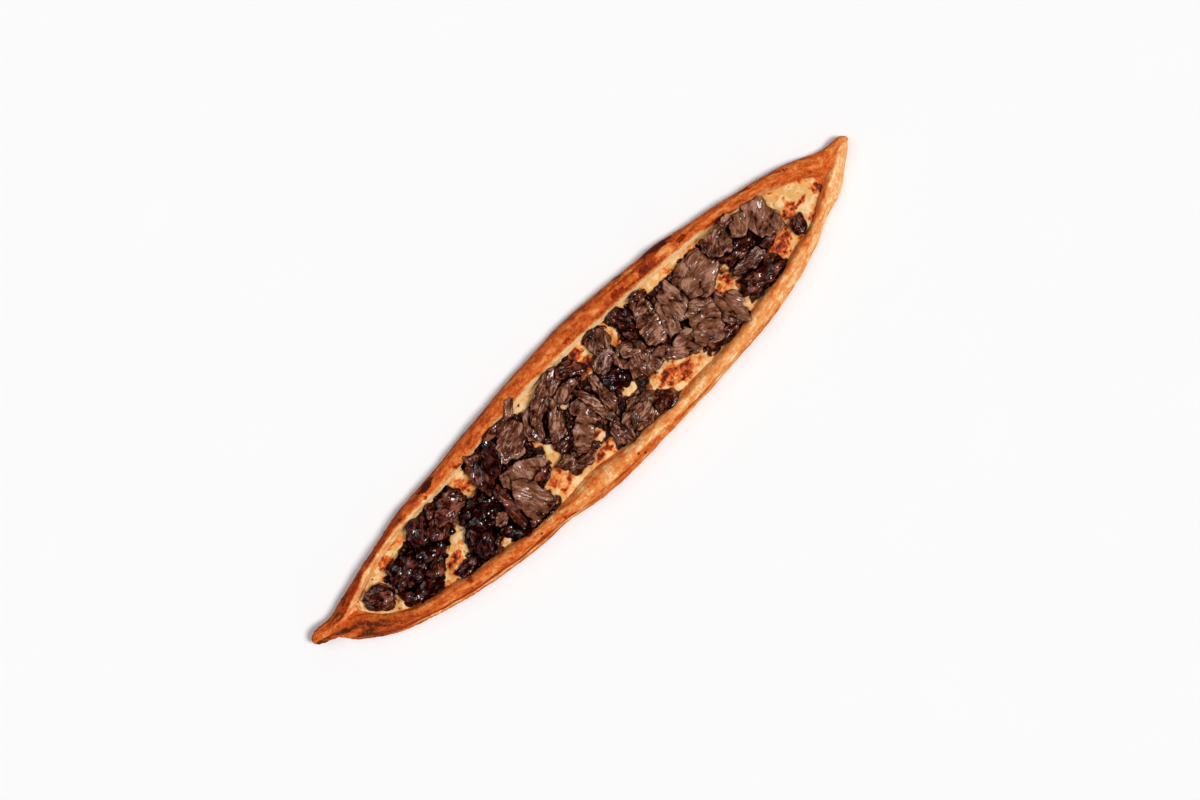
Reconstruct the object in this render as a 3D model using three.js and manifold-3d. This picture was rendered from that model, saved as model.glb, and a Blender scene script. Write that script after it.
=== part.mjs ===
// Turkish pide: a boat of flat bread with rolled rims, a cheese layer and roast meat on top.
// Millimetres. +X runs along the boat, +Z is up, and the flat base lies on Z = 0.
import * as THREE from 'three';
import Module from 'manifold-3d';

const wasm = await Module();
wasm.setup();
const { Manifold, Mesh } = wasm;

// ---- driving dimensions -------------------------------------------------------------------
const TIP_LEFT_X = -277;
const TIP_RIGHT_X = 277;
const TIP_LEFT_Y = 12;
const TIP_RIGHT_Y = 13.6;
const BASE_THICK = 5.5; // rolled-out sheet under the filling
const RIM_HEIGHT = 17; // crown of the rolled rim
const LIP_TOP = 2.8; // edge of the sheet that shows outside the roll
const CHEESE_TOP = 9.4;
const GAP = 0.35; // clearance between pieces that touch
const NUB_LENGTH = 19; // finger of dough at the left tip
const LOBE_END_X = -258.5; // where the lower rim is tucked in at the left
const TROUGH_LEFT_X = -246;
const TROUGH_RIGHT_X = 241;
const BEND_STEP = 4.4; // station spacing at the ends
const LONG_STEP = 14; // station spacing along the boat
const FLAT_ENOUGH = 0.13; // facets that differ by less than this are joined
const TRIM_FLAT = 0.2; // the same for a trimmed meat piece
const MEAT_GAP = 0.5; // clearance that a meat piece is trimmed to

// Each edge rises from its left end to a crown and falls to its right end. Swells are the
// unevenness of hand-shaped dough: [x, spread, height].
const EDGES = {
  outerUpper: {
    left: [-277, 12], right: [277, 14], crown: [24, 59.4], leftPower: [1.35, 0.8],
    rightPower: [1.7, 0.82],
    swells: [[-165, 24, 2.5], [116, 9, 3.2], [-260, 34, -2.7], [250, 15, -3.4],
      [272, 5.5, 2.3], [-270, 8.5, 4.7]],
  },
  outerLower: {
    left: [LOBE_END_X, 0], right: [277, 13.5], crown: [29, -56], leftPower: [3.5, 0.78],
    rightPower: [2.6, 0.91],
    swells: [[-225, 20, -2.6], [-76, 13, 2.4], [106, 40, 1.9], [-19, 40, -3.4],
      [246, 10.5, -2.9], [224, 5.5, 1.9]],
  },
  innerUpper: {
    left: [-247, 9], right: [241.5, 3.5], crown: [-29, 39], leftPower: [0.8, 0.6],
    rightPower: [3.7, 0.63],
    swells: [[-230, 14, -4.2], [-174, 40, 4], [-67, 10, 3], [179, 7, -1.6]],
  },
  innerLower: {
    left: [-247, 9], right: [241.5, 3.5], crown: [-38, -40.6], leftPower: [2.2, 0.9],
    rightPower: [3.3, 0.84],
    swells: [[-236, 8, 7], [-203, 31, -7], [-155, 10, -2.6], [-37, 16, 4.4],
      [144, 12, 2.2], [213, 7.5, -3.8]],
  },
};

// Rolled rim from the crease at its outer side to the trough floor:
// [share of the roll's width, share of the rim's height].
const ROLL = [[0, 0.36], [0.07, 0.63], [0.22, 0.87], [0.4, 0.98], [0.56, 1], [0.7, 0.94],
  [0.82, 0.81], [0.91, 0.66], [0.97, 0.5]];

// Meat pieces from the bottom of the heap to its top. A piece is one or more lobes:
// [x, y, length, width, turn in degrees, thickness]. A lobe may end with its bend in mm.
const MEAT = [
  // left end, dark glazed chunks
  ['chunk', [[-217, 2, 26, 21, -50, 8]]],
  ['chunk', [[-182, -14, 26, 20, -10, 8], [-198, -14, 22, 9, -52, 6]]],
  ['chunk', [[-169, -10, 20, 14, 30, 8]]],
  ['chunk', [[-152, -26, 26, 10, 6, 6]]],
  ['chunk', [[-187, 3, 33, 27, 8, 11]]],
  ['chunk', [[-162, 4, 25, 20, 14, 9]]],
  ['chunk', [[-162, 18, 22, 19, 75, 10]]],
  ['chunk', [[-148, 10, 20, 17, 60, 10]]],
  ['chunk', [[-128, -27, 24, 12, 12, 8]]],
  ['chunk', [[-130, -16, 34, 22, 52, 9]]],
  ['chunk', [[-131, 16, 29, 25, -15, 8], [-144, 24, 11, 9, 0, 6]]],
  ['chunk', [[-116, -2, 37, 25, 12, 10]]],
  ['slice', [[-109, -18, 14, 10, 40, 5]]],
  ['chunk', [[-107, -31, 29, 12, -33, 8]]],
  ['strip', [[-98, -14, 44, 10, 87, 6, 2], [-89, -33, 16, 11, 0, 6]]],
  ['slice', [[-97, 19, 31, 19, 72, 7]]],
  // middle, shaved slices and strips
  ['slice', [[-83, 21, 30, 16, 66, 6]]],
  ['strip', [[-65, 34, 29, 8, -3, 5, 1]]],
  ['slice', [[-48, 40, 17, 7, 42, 3]]],
  ['slice', [[-63, 21, 31, 24, 40, 5]]],
  ['slice', [[-74, -3, 37, 19, -6, 5]]],
  ['chunk', [[-64, -15, 17, 11, 24, 6]]],
  ['slice', [[-82, -22, 34, 25, 98, 5]]],
  ['chunk', [[-44, -20, 17, 14, -60, 6], [-35, -28, 20, 10, -8, 5], [-23, -25, 15, 9, 0, 5]]],
  ['slice', [[-35, -6, 19, 16, 10, 5]]],
  ['strip', [[-45, 17, 26, 15, 62, 6]]],
  ['strip', [[-22, 28, 46, 15, 20, 7, -3]]],
  ['strip', [[-30, 9, 33, 13, 55, 6, 2], [-10, 20, 31, 9, 8, 5]]],
  ['slice', [[-10, 6, 15, 9, 10, 5]]],
  ['slice', [[-17, -10, 42, 16, 41, 5]]],
  ['chunk', [[5, 29, 28, 13, -32, 7]]],
  ['chunk', [[1, -31, 23, 18, 70, 8]]],
  ['strip', [[0, -4, 40, 9, 100, 5, 2]]],
  ['chunk', [[23, -30, 34, 24, 0, 8]]],
  ['strip', [[11, -1, 35, 11, 86, 6, 1]]],
  ['chunk', [[24, 3, 22, 19, 0, 7]]],
  ['slice', [[28, 17, 22, 15, 22, 6]]],
  ['slice', [[34, 31, 21, 18, 0, 5]]],
  ['chunk', [[41, -37, 24, 15, -4, 5]]],
  ['slice', [[38, 8, 18, 12, 80, 5]]],
  ['slice', [[50, 9, 19, 16, 0, 5]]],
  ['slice', [[50, -6, 33, 18, -12, 5]]],
  ['chunk', [[59, 25, 29, 15, 86, 8], [57, 35, 15, 9, 0, 7]]],
  ['strip', [[78, 34, 17, 8, 4, 6]]],
  ['slice', [[72, 14, 37, 21, 80, 6]]],
  ['slice', [[84, -17, 26, 22, -20, 5], [67, -12, 24, 9, -55, 5]]],
  ['slice', [[84, 6, 30, 13, 76, 5]]],
  // right, broad slices and dark glazed pieces
  ['chunk', [[105, -31, 29, 11, 0, 6]]],
  ['slice', [[97, 11, 35, 21, 97, 5]]],
  ['slice', [[122, -20, 31, 19, -68, 5], [131, -16, 15, 11, -60, 5]]],
  ['slice', [[104, -13, 37, 27, 72, 5]]],
  ['slice', [[124, 16, 37, 34, 30, 6], [112, 14, 24, 12, 96, 7]]],
  ['chunk', [[154, -18, 32, 17, 0, 8], [169, -17, 20, 17, 0, 8]]],
  ['chunk', [[160, 9, 41, 17, -5, 8], [179, -1, 18, 11, 0, 6]]],
  ['slice', [[150, 23, 26, 21, 8, 7], [165, 30, 12, 10, 0, 8]]],
  ['chunk', [[157, -4, 31, 12, -3, 9]]],
  ['slice', [[187, 13, 30, 26, 78, 6], [172, 21, 22, 15, 10, 7]]],
  ['chunk', [[204, -9, 16, 13, 80, 7]]],
];

const LOOKS = {
  dough: { color: 0xd08a4a, roughness: 0.75 },
  cheese: { color: 0xecc98a, roughness: 0.5 },
  chunk: { color: 0x2c1714, roughness: 0.45 },
  slice: { color: 0x6a4234, roughness: 0.65 },
  strip: { color: 0x573026, roughness: 0.6 },
};

// ---- small helpers ------------------------------------------------------------------------
const clamp = (v, low = 0, high = 1) => Math.min(high, Math.max(low, v));
const mix = (a, b, t) => a + (b - a) * t;

function smooth(from, to, x) {
  const t = clamp((x - from) / (to - from));
  return t * t * (3 - 2 * t);
}

function seededRandom(seed) {
  let state = (seed * 2654435761) >>> 0;
  return () => {
    state = (state + 0x6d2b79f5) >>> 0;
    let t = Math.imul(state ^ (state >>> 15), 1 | state);
    t = (t + Math.imul(t ^ (t >>> 7), 61 | t)) ^ t;
    return ((t ^ (t >>> 14)) >>> 0) / 4294967296;
  };
}

/** Gentle unevenness, between -1 and 1. */
function waver(x, phase) {
  return 0.5 * Math.sin(x / 23 + phase) + 0.3 * Math.sin(x / 9.7 + 2.3 * phase)
    + 0.2 * Math.sin(x / 41 + 1.7 * phase);
}

/** Where one of the EDGES lies across the boat at station x. */
function edgeAt(edge, x) {
  const onLeft = x < edge.crown[0];
  const end = onLeft ? edge.left : edge.right;
  const [power, shape] = onLeft ? edge.leftPower : edge.rightPower;
  const away = clamp((x - edge.crown[0]) / (end[0] - edge.crown[0]));
  const line = end[1] + (edge.crown[1] - end[1]) * (1 - away ** power) ** shape;
  return edge.swells.reduce(
    (y, [at, spread, height]) => y + height * Math.exp(-(((x - at) / spread) ** 2)), line);
}

function solidFrom(points, faces) {
  return new Manifold(new Mesh({
    numProp: 3,
    vertProperties: new Float32Array(points.flat()),
    triVerts: new Uint32Array(faces.flat()),
  }));
}

/** Moves each point of a closed [y, z] ring outward by the given distance. */
function offsetRing(ring, distance) {
  return ring.map(([y, z], i) => {
    const before = ring[(i + ring.length - 1) % ring.length];
    const after = ring[(i + 1) % ring.length];
    const dy = after[0] - before[0];
    const dz = after[1] - before[1];
    const length = Math.hypot(dy, dz) || 1;
    return [y - (dz / length) * distance, z + (dy / length) * distance];
  });
}

/** Skins [y, z] rings at their stations and closes both ends on a point. */
function loft(stations, rings, leftApex, rightApex) {
  const count = rings[0].length;
  const points = rings.flatMap((ring, i) => ring.map(([y, z]) => [stations[i], y, z]));
  const faces = [];
  const leftPoint = points.push(leftApex) - 1;
  const rightPoint = points.push(rightApex) - 1;
  const last = (rings.length - 1) * count;
  for (let j = 0; j < count; j += 1) {
    const k = (j + 1) % count;
    for (let i = 0; i < rings.length - 1; i += 1) {
      const a = i * count;
      faces.push([a + j, a + count + j, a + k], [a + k, a + count + j, a + count + k]);
    }
    faces.push([leftPoint, j, k], [rightPoint, last + k, last + j]);
  }
  return solidFrom(points, faces);
}

// ---- dough crust --------------------------------------------------------------------------
/** Middle line and half width of the finger of dough at the left tip. */
function nubAt(x) {
  const along = clamp((LOBE_END_X - x) / NUB_LENGTH);
  const half = (7.4 - 1.9 * along) * Math.sqrt(Math.max(0.004, 1 - along ** 4));
  return { middle: TIP_LEFT_Y - 2.8 * (1 - along) ** 2, half };
}

function outerLowerAt(x) {
  const { middle, half } = nubAt(x);
  return x < LOBE_END_X ? middle - half : edgeAt(EDGES.outerLower, x);
}

function outerUpperAt(x) {
  const nub = nubAt(x);
  return mix(nub.middle + nub.half, edgeAt(EDGES.outerUpper, x), smooth(-262, -252, x));
}

/** Inner edges of the rims. Past the trough they run on as the crease between the rims. */
function innerEdgesAt(x) {
  const half = 0.45;
  if (x < TROUGH_LEFT_X) {
    const crease = 9 - 9.5 * clamp((TROUGH_LEFT_X - x) / 12.5) ** 1.1;
    return [crease - half, crease + half];
  }
  if (x > TROUGH_RIGHT_X) {
    const crease = 3.5 + 0.33 * (x - TROUGH_RIGHT_X);
    return [crease - half, crease + half];
  }
  const low = edgeAt(EDGES.innerLower, x);
  const high = edgeAt(EDGES.innerUpper, x);
  const middle = (low + high) / 2;
  return [Math.min(low, middle - half), Math.max(high, middle + half)];
}

/** The phase keeps the two rims from rising and falling together. */
function rimHeightAt(x, phase) {
  const towardsTip = clamp((x - 225) / (TIP_RIGHT_X - 225));
  const height = RIM_HEIGHT + 0.8 * waver(x, phase) - 1.5 * smooth(-200, -245, x);
  return height * (1 - 0.5 * towardsTip ** 1.6);
}

function floorHeightAt(x) {
  const left = mix(BASE_THICK, 11, smooth(-242, -249, x));
  const right = mix(BASE_THICK, 10, smooth(239, 244, x));
  return Math.max(left, right) - 3.5 * smooth(250, TIP_RIGHT_X, x);
}

/** One rolled rim from its outer foot to the trough floor, as [y, z] points. */
function rimPoints(outer, inner, height, lip, lean, floor) {
  const side = Math.sign(inner - outer);
  const width = Math.max(0.6, Math.abs(inner - outer));
  const shown = Math.min(lip, width / 3);
  const tall = Math.max(LIP_TOP + 1.6, height * (1 - Math.exp(-width / 5)));
  const sheet = [[Math.min(0.8, width / 8), 0], [0, 1.2], [0.12 * shown, LIP_TOP],
    [shown + 0.35, LIP_TOP + 0.5]];
  const roll = ROLL.map(([share, rise]) => [
    shown + (width - shown) * share ** (1 - lean),
    share > 0.6 ? Math.max(rise * tall, floor + 0.05) : Math.max(rise * tall, LIP_TOP + 1),
  ]);
  const foot = [width + 0.3, floor];
  return [...sheet, ...roll, foot].map(([away, z]) => [outer + side * away, z]);
}

function boatRing(x) {
  const low = outerLowerAt(x);
  const high = outerUpperAt(x);
  const [innerLow, innerHigh] = innerEdgesAt(x);
  const floor = floorHeightAt(x);
  // the sheet's edge shows outside the lower rim at the left, and hardly at all at the right,
  // where the roll leans inwards over a pale flank
  const lowLip = 2.3 * smooth(-250, -225, x) - 1.5 * smooth(-75, -20, x) - 0.6 * smooth(90, 150, x);
  const lowLean = 0.45 * smooth(60, 190, x);
  const highLip = 0.8 * smooth(-240, -200, x) * (1 - smooth(120, 180, x));
  const lower = rimPoints(low, innerLow, rimHeightAt(x, 1.1), lowLip, lowLean, floor);
  const upper = rimPoints(high, innerHigh, rimHeightAt(x, 4.2), highLip, 0.06, floor).reverse();
  const trough = [0.25, 0.5, 0.75].map((t) => [mix(innerLow, innerHigh, t), floor]);
  const under = [0.75, 0.5, 0.25].map((t) => [mix(low, high, t), 0]);
  return [...lower, ...trough, ...upper, ...under];
}

/** Rounded section of the tips, with as many points as the boat's section. */
function tipRing(x, topCount, total) {
  const low = outerLowerAt(x);
  const high = outerUpperAt(x);
  const half = (high - low) / 2;
  const rise = Math.min(half * 0.9 + 0.4, 6.4);
  const middle = mix(7.8, 6.6, smooth(0, 60, x));
  const feet = 40;
  return Array.from({ length: total }, (_, i) => {
    const degrees = i < topCount
      ? mix(180 + feet, -feet, i / (topCount - 1))
      : mix(-feet, feet - 180, (i - topCount + 1) / (total - topCount + 1));
    const angle = THREE.MathUtils.degToRad(degrees);
    return [(low + high) / 2 + half * Math.cos(angle), middle + rise * Math.sin(angle)];
  });
}

function crustRing(x) {
  const boat = boatRing(x);
  const tip = tipRing(x, boat.length - 3, boat.length);
  const share = Math.max(smooth(-251, -261, x), smooth(252, 270, x));
  return boat.map(([y, z], i) => [mix(y, tip[i][0], share), mix(z, tip[i][1], share)]);
}

function crustStations() {
  const stations = [];
  let x = TIP_LEFT_X + 0.8;
  while (x < TIP_RIGHT_X - 1) {
    stations.push(x);
    const fromLeft = smooth(26, 60, x - TIP_LEFT_X);
    const fromRight = smooth(38, 75, TIP_RIGHT_X - x);
    x += mix(BEND_STEP, LONG_STEP, Math.min(fromLeft, fromRight));
  }
  return stations;
}

function makeCrust(grow) {
  const stations = crustStations();
  const rings = stations.map((x) => offsetRing(crustRing(x), grow));
  return loft(stations, rings, [TIP_LEFT_X - grow, TIP_LEFT_Y, 7.8],
    [TIP_RIGHT_X + grow, TIP_RIGHT_Y, 6.6]).simplify(FLAT_ENOUGH);
}

// ---- cheese layer -------------------------------------------------------------------------
/** Where the rim's inner wall stands at height z, for the lower or the upper rim. */
function wallAt(ring, onUpper, z) {
  const rim = 4 + ROLL.length + 1;
  const wall = onUpper ? ring.slice(rim + 3, rim + 7).reverse() : ring.slice(rim - 4, rim);
  for (let i = 0; i < wall.length - 1; i += 1) {
    const [[y0, z0], [y1, z1]] = [wall[i], wall[i + 1]];
    if (z <= z0 && z >= z1) return mix(y0, y1, (z0 - z) / (z0 - z1 || 1));
  }
  return wall[wall.length - 1][0];
}

function cheeseHeight(x, y) {
  return CHEESE_TOP + 0.45 * Math.sin(x / 7.1 + y / 11) + 0.35 * Math.sin(y / 6.3 - x / 17)
    + 0.3 * waver(x + 2 * y, 0.7);
}

function cheeseRing(x) {
  const ring = boatRing(x);
  const bottom = BASE_THICK + GAP;
  const corners = [[false, 1], [true, -1]].map(([onUpper, side]) => {
    const foot = wallAt(ring, onUpper, bottom) + side * GAP;
    const shoulder = wallAt(ring, onUpper, CHEESE_TOP - 0.6) + side * (GAP + 0.1);
    return { foot, shoulder };
  });
  const [low, high] = corners;
  const top = [0, 0.1, 0.25, 0.42, 0.58, 0.75, 0.9, 1].map((t) => {
    const y = mix(low.shoulder, high.shoulder, t);
    const edge = t === 0 || t === 1;
    return [y, edge ? CHEESE_TOP - 0.6 : cheeseHeight(x, y)];
  });
  const under = [0.66, 0.33].map((t) => [mix(low.foot, high.foot, t), bottom]);
  return [[low.foot, bottom], ...top, [high.foot, bottom], ...under];
}

function makeCheese(grow) {
  const stations = crustStations().filter((x) => x > TROUGH_LEFT_X + 6 && x < TROUGH_RIGHT_X - 4);
  const rings = stations.map((x) => offsetRing(cheeseRing(x), grow));
  const ends = [[0, -1], [stations.length - 1, 1]].map(([i, side]) => {
    const ring = rings[i];
    const y = (ring[0][0] + ring[9][0]) / 2;
    return [stations[i] + side * (1.2 + grow), y, (BASE_THICK + CHEESE_TOP) / 2];
  });
  return loft(stations, rings, ends[0], ends[1]).simplify(FLAT_ENOUGH);
}

// ---- meat ---------------------------------------------------------------------------------
/** Height of everything laid down so far, on a square grid. */
class HeightMap {
  constructor(step = 1.5) {
    this.step = step;
    this.low = [-280, -64];
    this.size = [Math.ceil(560 / step), Math.ceil(128 / step)];
    this.cells = new Float32Array(this.size[0] * this.size[1]);
  }

  add(solid) {
    const mesh = solid.getMesh();
    const corner = (i) => Array.from(mesh.vertProperties.slice(i * mesh.numProp, i * mesh.numProp + 3));
    for (let t = 0; t < mesh.triVerts.length; t += 3) {
      this.addTriangle([0, 1, 2].map((k) => corner(mesh.triVerts[t + k])));
    }
  }

  addTriangle([a, b, c]) {
    const area = (b[0] - a[0]) * (c[1] - a[1]) - (b[1] - a[1]) * (c[0] - a[0]);
    if (area <= 1e-6) return;
    const span = [0, 1].map((k) => [Math.min(a[k], b[k], c[k]), Math.max(a[k], b[k], c[k])]
      .map((v) => Math.round((v - this.low[k]) / this.step)));
    for (let i = Math.max(0, span[0][0]); i <= Math.min(this.size[0] - 1, span[0][1]); i += 1) {
      for (let j = Math.max(0, span[1][0]); j <= Math.min(this.size[1] - 1, span[1][1]); j += 1) {
        const x = this.low[0] + i * this.step;
        const y = this.low[1] + j * this.step;
        const v = ((b[0] - x) * (c[1] - y) - (b[1] - y) * (c[0] - x)) / area;
        const w = ((c[0] - x) * (a[1] - y) - (c[1] - y) * (a[0] - x)) / area;
        if (v < -0.05 || w < -0.05 || v + w > 1.05) continue;
        const z = v * a[2] + w * b[2] + (1 - v - w) * c[2];
        const cell = i * this.size[1] + j;
        this.cells[cell] = Math.max(this.cells[cell], z);
      }
    }
  }

  at(x, y) {
    const i = clamp(Math.round((x - this.low[0]) / this.step), 0, this.size[0] - 1);
    const j = clamp(Math.round((y - this.low[1]) / this.step), 0, this.size[1] - 1);
    return this.cells[i * this.size[1] + j];
  }

  /** Mean and greatest height in a disc: what a soft slice sags onto. */
  around(x, y, radius) {
    const heights = [this.at(x, y)];
    for (const share of [0.5, 1]) {
      for (let k = 0; k < 8; k += 1) {
        const angle = ((k + share) * Math.PI) / 4;
        heights.push(this.at(x + share * radius * Math.cos(angle), y + share * radius * Math.sin(angle)));
      }
    }
    const mean = heights.reduce((sum, z) => sum + z, 0) / heights.length;
    return { mean, most: Math.max(...heights) };
  }
}

const SHAPES = {
  chunk: { box: 2.2, ragged: 0.09, crag: 1.1, rings: [[0, 1], [0.5, 0.96], [0.84, 0.78], [1, 0.4]] },
  slice: { box: 2.9, ragged: 0.08, crag: 0.6, rings: [[0, 1], [0.5, 1], [0.88, 0.95], [1, 0.5]] },
  strip: { box: 3.2, ragged: 0.06, crag: 0.7, rings: [[0, 1], [0.5, 1], [0.86, 0.9], [1, 0.45]] },
};
const SECTOR_LENGTH = 8.3; // of a piece's outline
const SAG_RADIUS = 6;
const BRIDGE = 1; // how far above its mean bed a stiff piece may stay before it is trimmed

/** Closed mesh of one lobe draped on the heap, larger by grow all round. */
function makeLobe(kind, lobe, seed, heap, grow) {
  const [x, y, length, width, turn, thick, bend = 0] = lobe;
  const sectors = clamp(Math.round((length + width) * 1.6 / SECTOR_LENGTH), 8, 12);
  const shape = SHAPES[kind];
  const random = seededRandom(seed);
  const waves = [2, 3, 5].map((n) => [n, random() * 2 * Math.PI, shape.ragged * (0.5 + random())]);
  const angleOf = THREE.MathUtils.degToRad(turn);
  const place = (sector, share) => {
    const a = (sector * 2 * Math.PI) / sectors;
    const rough = waves.reduce((r, [n, phase, size]) => r + size * Math.sin(n * a + phase), 1);
    const reach = (Math.abs(Math.cos(a)) ** shape.box + Math.abs(Math.sin(a)) ** shape.box)
      ** (-1 / shape.box);
    const u = Math.cos(a) * reach * rough * share * (length / 2 + 1.5 * grow);
    const v = Math.sin(a) * reach * rough * share * (width / 2 + 1.5 * grow)
      + bend * ((u / (length / 2)) ** 2 - 0.5);
    return [x + u * Math.cos(angleOf) - v * Math.sin(angleOf),
      y + u * Math.sin(angleOf) + v * Math.cos(angleOf)];
  };
  const points = [];
  const addPoint = (px, py, share, rise, crag) => {
    const bed = heap.around(px, py, SAG_RADIUS).mean;
    const top = bed + thick * rise + crag * shape.crag + grow;
    points.push([px, py, share < 0.9 ? Math.max(top, heap.at(px, py) + 1.6 + grow) : top]);
  };
  const [[, centreRise], ...rings] = shape.rings;
  addPoint(...place(0, 0), 0, centreRise, random() - 0.5);
  for (const [share, rise] of rings) {
    for (let s = 0; s < sectors; s += 1) addPoint(...place(s, share), share, rise, random() * 2 - 1);
  }
  const underside = (px, py) => {
    const { mean, most } = heap.around(px, py, SAG_RADIUS);
    return Math.min(most + MEAT_GAP + 0.1, mean + BRIDGE) - grow;
  };
  for (let s = 0; s < sectors; s += 1) {
    const [px, py] = place(s, 0.9);
    points.push([px, py, underside(px, py)]);
  }
  const [cx, cy] = place(0, 0);
  const under = points.push([cx, cy, underside(cx, cy)]) - 1;
  const faces = [];
  const ringCount = rings.length + 1;
  for (let s = 0; s < sectors; s += 1) {
    const t = (s + 1) % sectors;
    faces.push([0, 1 + s, 1 + t]);
    for (let r = 0; r < ringCount - 1; r += 1) {
      const a = 1 + r * sectors;
      const b = a + sectors;
      faces.push([a + s, b + s, b + t], [a + s, b + t, a + t]);
    }
    const edge = 1 + (ringCount - 1) * sectors;
    faces.push([under, edge + t, edge + s]);
  }
  return solidFrom(points, faces);
}

function makePiece([kind, lobes], seed, heap, grow) {
  return Manifold.union(lobes.map((lobe, i) => makeLobe(kind, lobe, seed * 7 + i, heap, grow)));
}

function largestBody(solid) {
  const bodies = solid.decompose();
  return bodies.reduce((best, body) => (body.volume() > best.volume() ? body : best), bodies[0]);
}

/** Lays the pieces down one after another, each trimmed clear of what it lies on. */
function makeMeat(crust, cheese) {
  const heap = new HeightMap();
  heap.add(crust);
  heap.add(cheese);
  let clear = Manifold.union([makeCrust(MEAT_GAP), makeCheese(MEAT_GAP)]);
  return MEAT.map((piece, i) => {
    const raw = makePiece(piece, i + 1, heap, 0);
    const solid = largestBody(raw.subtract(clear).simplify(TRIM_FLAT));
    clear = clear.add(makePiece(piece, i + 1, heap, MEAT_GAP));
    heap.add(solid);
    return { kind: piece[0], solid };
  });
}

// ---- assembly -----------------------------------------------------------------------------
function makeNode(name, solid, look) {
  const mesh = solid.getMesh();
  const geometry = new THREE.BufferGeometry();
  geometry.setAttribute('position', new THREE.BufferAttribute(mesh.vertProperties, 3));
  geometry.setIndex(new THREE.BufferAttribute(mesh.triVerts, 1));
  geometry.computeVertexNormals();
  const material = new THREE.MeshStandardMaterial({ ...look, metalness: 0 });
  const node = new THREE.Mesh(geometry, material);
  node.name = name;
  return node;
}

const crust = makeCrust(0);
const cheese = makeCheese(0);
const pide = new THREE.Group();
pide.name = 'pide';
pide.add(makeNode('dough_crust', crust, LOOKS.dough));
pide.add(makeNode('cheese_layer', cheese, LOOKS.cheese));
makeMeat(crust, cheese).forEach(({ kind, solid }, i) => {
  pide.add(makeNode(`meat_${kind}_${String(i + 1).padStart(2, '0')}`, solid, LOOKS[kind]));
});

export default pide;
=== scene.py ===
"""Looks of a turkish pide: a boat of baked dough, a cheese layer and roast meat heaped on it.

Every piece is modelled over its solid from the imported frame. Metres throughout: +X runs along the
boat, +Y across it and +Z is up. Sizes in the tables are millimetres.
"""
from __future__ import annotations

import itertools
import logging
import math
from dataclasses import dataclass, field
from enum import Enum
from typing import Callable, Iterable, Sequence

import bmesh
import bpy
import numpy as np
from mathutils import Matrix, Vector


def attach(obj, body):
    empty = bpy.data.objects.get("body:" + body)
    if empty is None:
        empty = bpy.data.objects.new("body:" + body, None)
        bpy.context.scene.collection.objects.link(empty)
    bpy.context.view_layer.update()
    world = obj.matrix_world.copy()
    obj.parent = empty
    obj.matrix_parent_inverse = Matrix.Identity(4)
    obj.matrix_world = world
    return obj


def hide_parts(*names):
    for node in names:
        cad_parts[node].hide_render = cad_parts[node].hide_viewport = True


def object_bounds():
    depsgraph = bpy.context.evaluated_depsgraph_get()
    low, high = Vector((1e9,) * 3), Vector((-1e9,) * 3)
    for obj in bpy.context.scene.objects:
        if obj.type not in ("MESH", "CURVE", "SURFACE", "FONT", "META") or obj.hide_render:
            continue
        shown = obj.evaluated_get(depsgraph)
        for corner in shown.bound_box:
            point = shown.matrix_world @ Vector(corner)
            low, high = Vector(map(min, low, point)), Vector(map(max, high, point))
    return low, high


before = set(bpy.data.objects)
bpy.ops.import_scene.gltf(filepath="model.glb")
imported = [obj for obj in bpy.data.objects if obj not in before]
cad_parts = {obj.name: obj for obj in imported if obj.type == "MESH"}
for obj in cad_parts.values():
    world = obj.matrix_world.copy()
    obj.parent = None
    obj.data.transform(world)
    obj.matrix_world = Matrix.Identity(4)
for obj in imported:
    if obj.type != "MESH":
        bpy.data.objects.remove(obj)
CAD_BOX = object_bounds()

log = logging.getLogger("pide")

MM = 0.001
ROOT = "root"
CHEESE_LEVEL = 9.4 * MM
Colour = tuple[float, float, float, float]
Fade = tuple[float, float]
Points = np.ndarray
Socket = bpy.types.NodeSocket
Values = np.ndarray


# ---- numbers ------------------------------------------------------------------------------
def srgb(code: str) -> Colour:
    """Turn a six-digit sRGB code into a linear colour.

    Args:
        code: Red, green and blue as hexadecimal digits.

    Returns:
        The linear colour, with full alpha.
    """
    shares = [int(code[i : i + 2], 16) / 255 for i in (0, 2, 4)]
    linear = [s / 12.92 if s <= 0.04045 else ((s + 0.055) / 1.055) ** 2.4 for s in shares]
    return (*linear, 1.0)


def smooth(start: Values | float, end: Values | float, values: Values | float) -> Values:
    """Ease from 0 at start to 1 at end, whichever of the two is the larger."""
    share = np.clip((np.asarray(values, float) - start) / (end - start), 0.0, 1.0)
    return share * share * (3.0 - 2.0 * share)


def within(ends: tuple[Fade, Fade], values: Values) -> Values:
    """Return 1 between two ends, each of which fades from its first value to its second."""
    return smooth(*ends[0], values) * smooth(*ends[1], values)


def hump(middle: Values | float, spread: Values | float, values: Values) -> Values:
    """Return a bell that is 1 at the middle and fades over the spread."""
    return np.exp(-(((values - middle) / spread) ** 2))


def blend(low: Values | float, high: Values | float, share: Values) -> Values:
    """Mix two values by a share from 0 to 1."""
    return low + (high - low) * share


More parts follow.
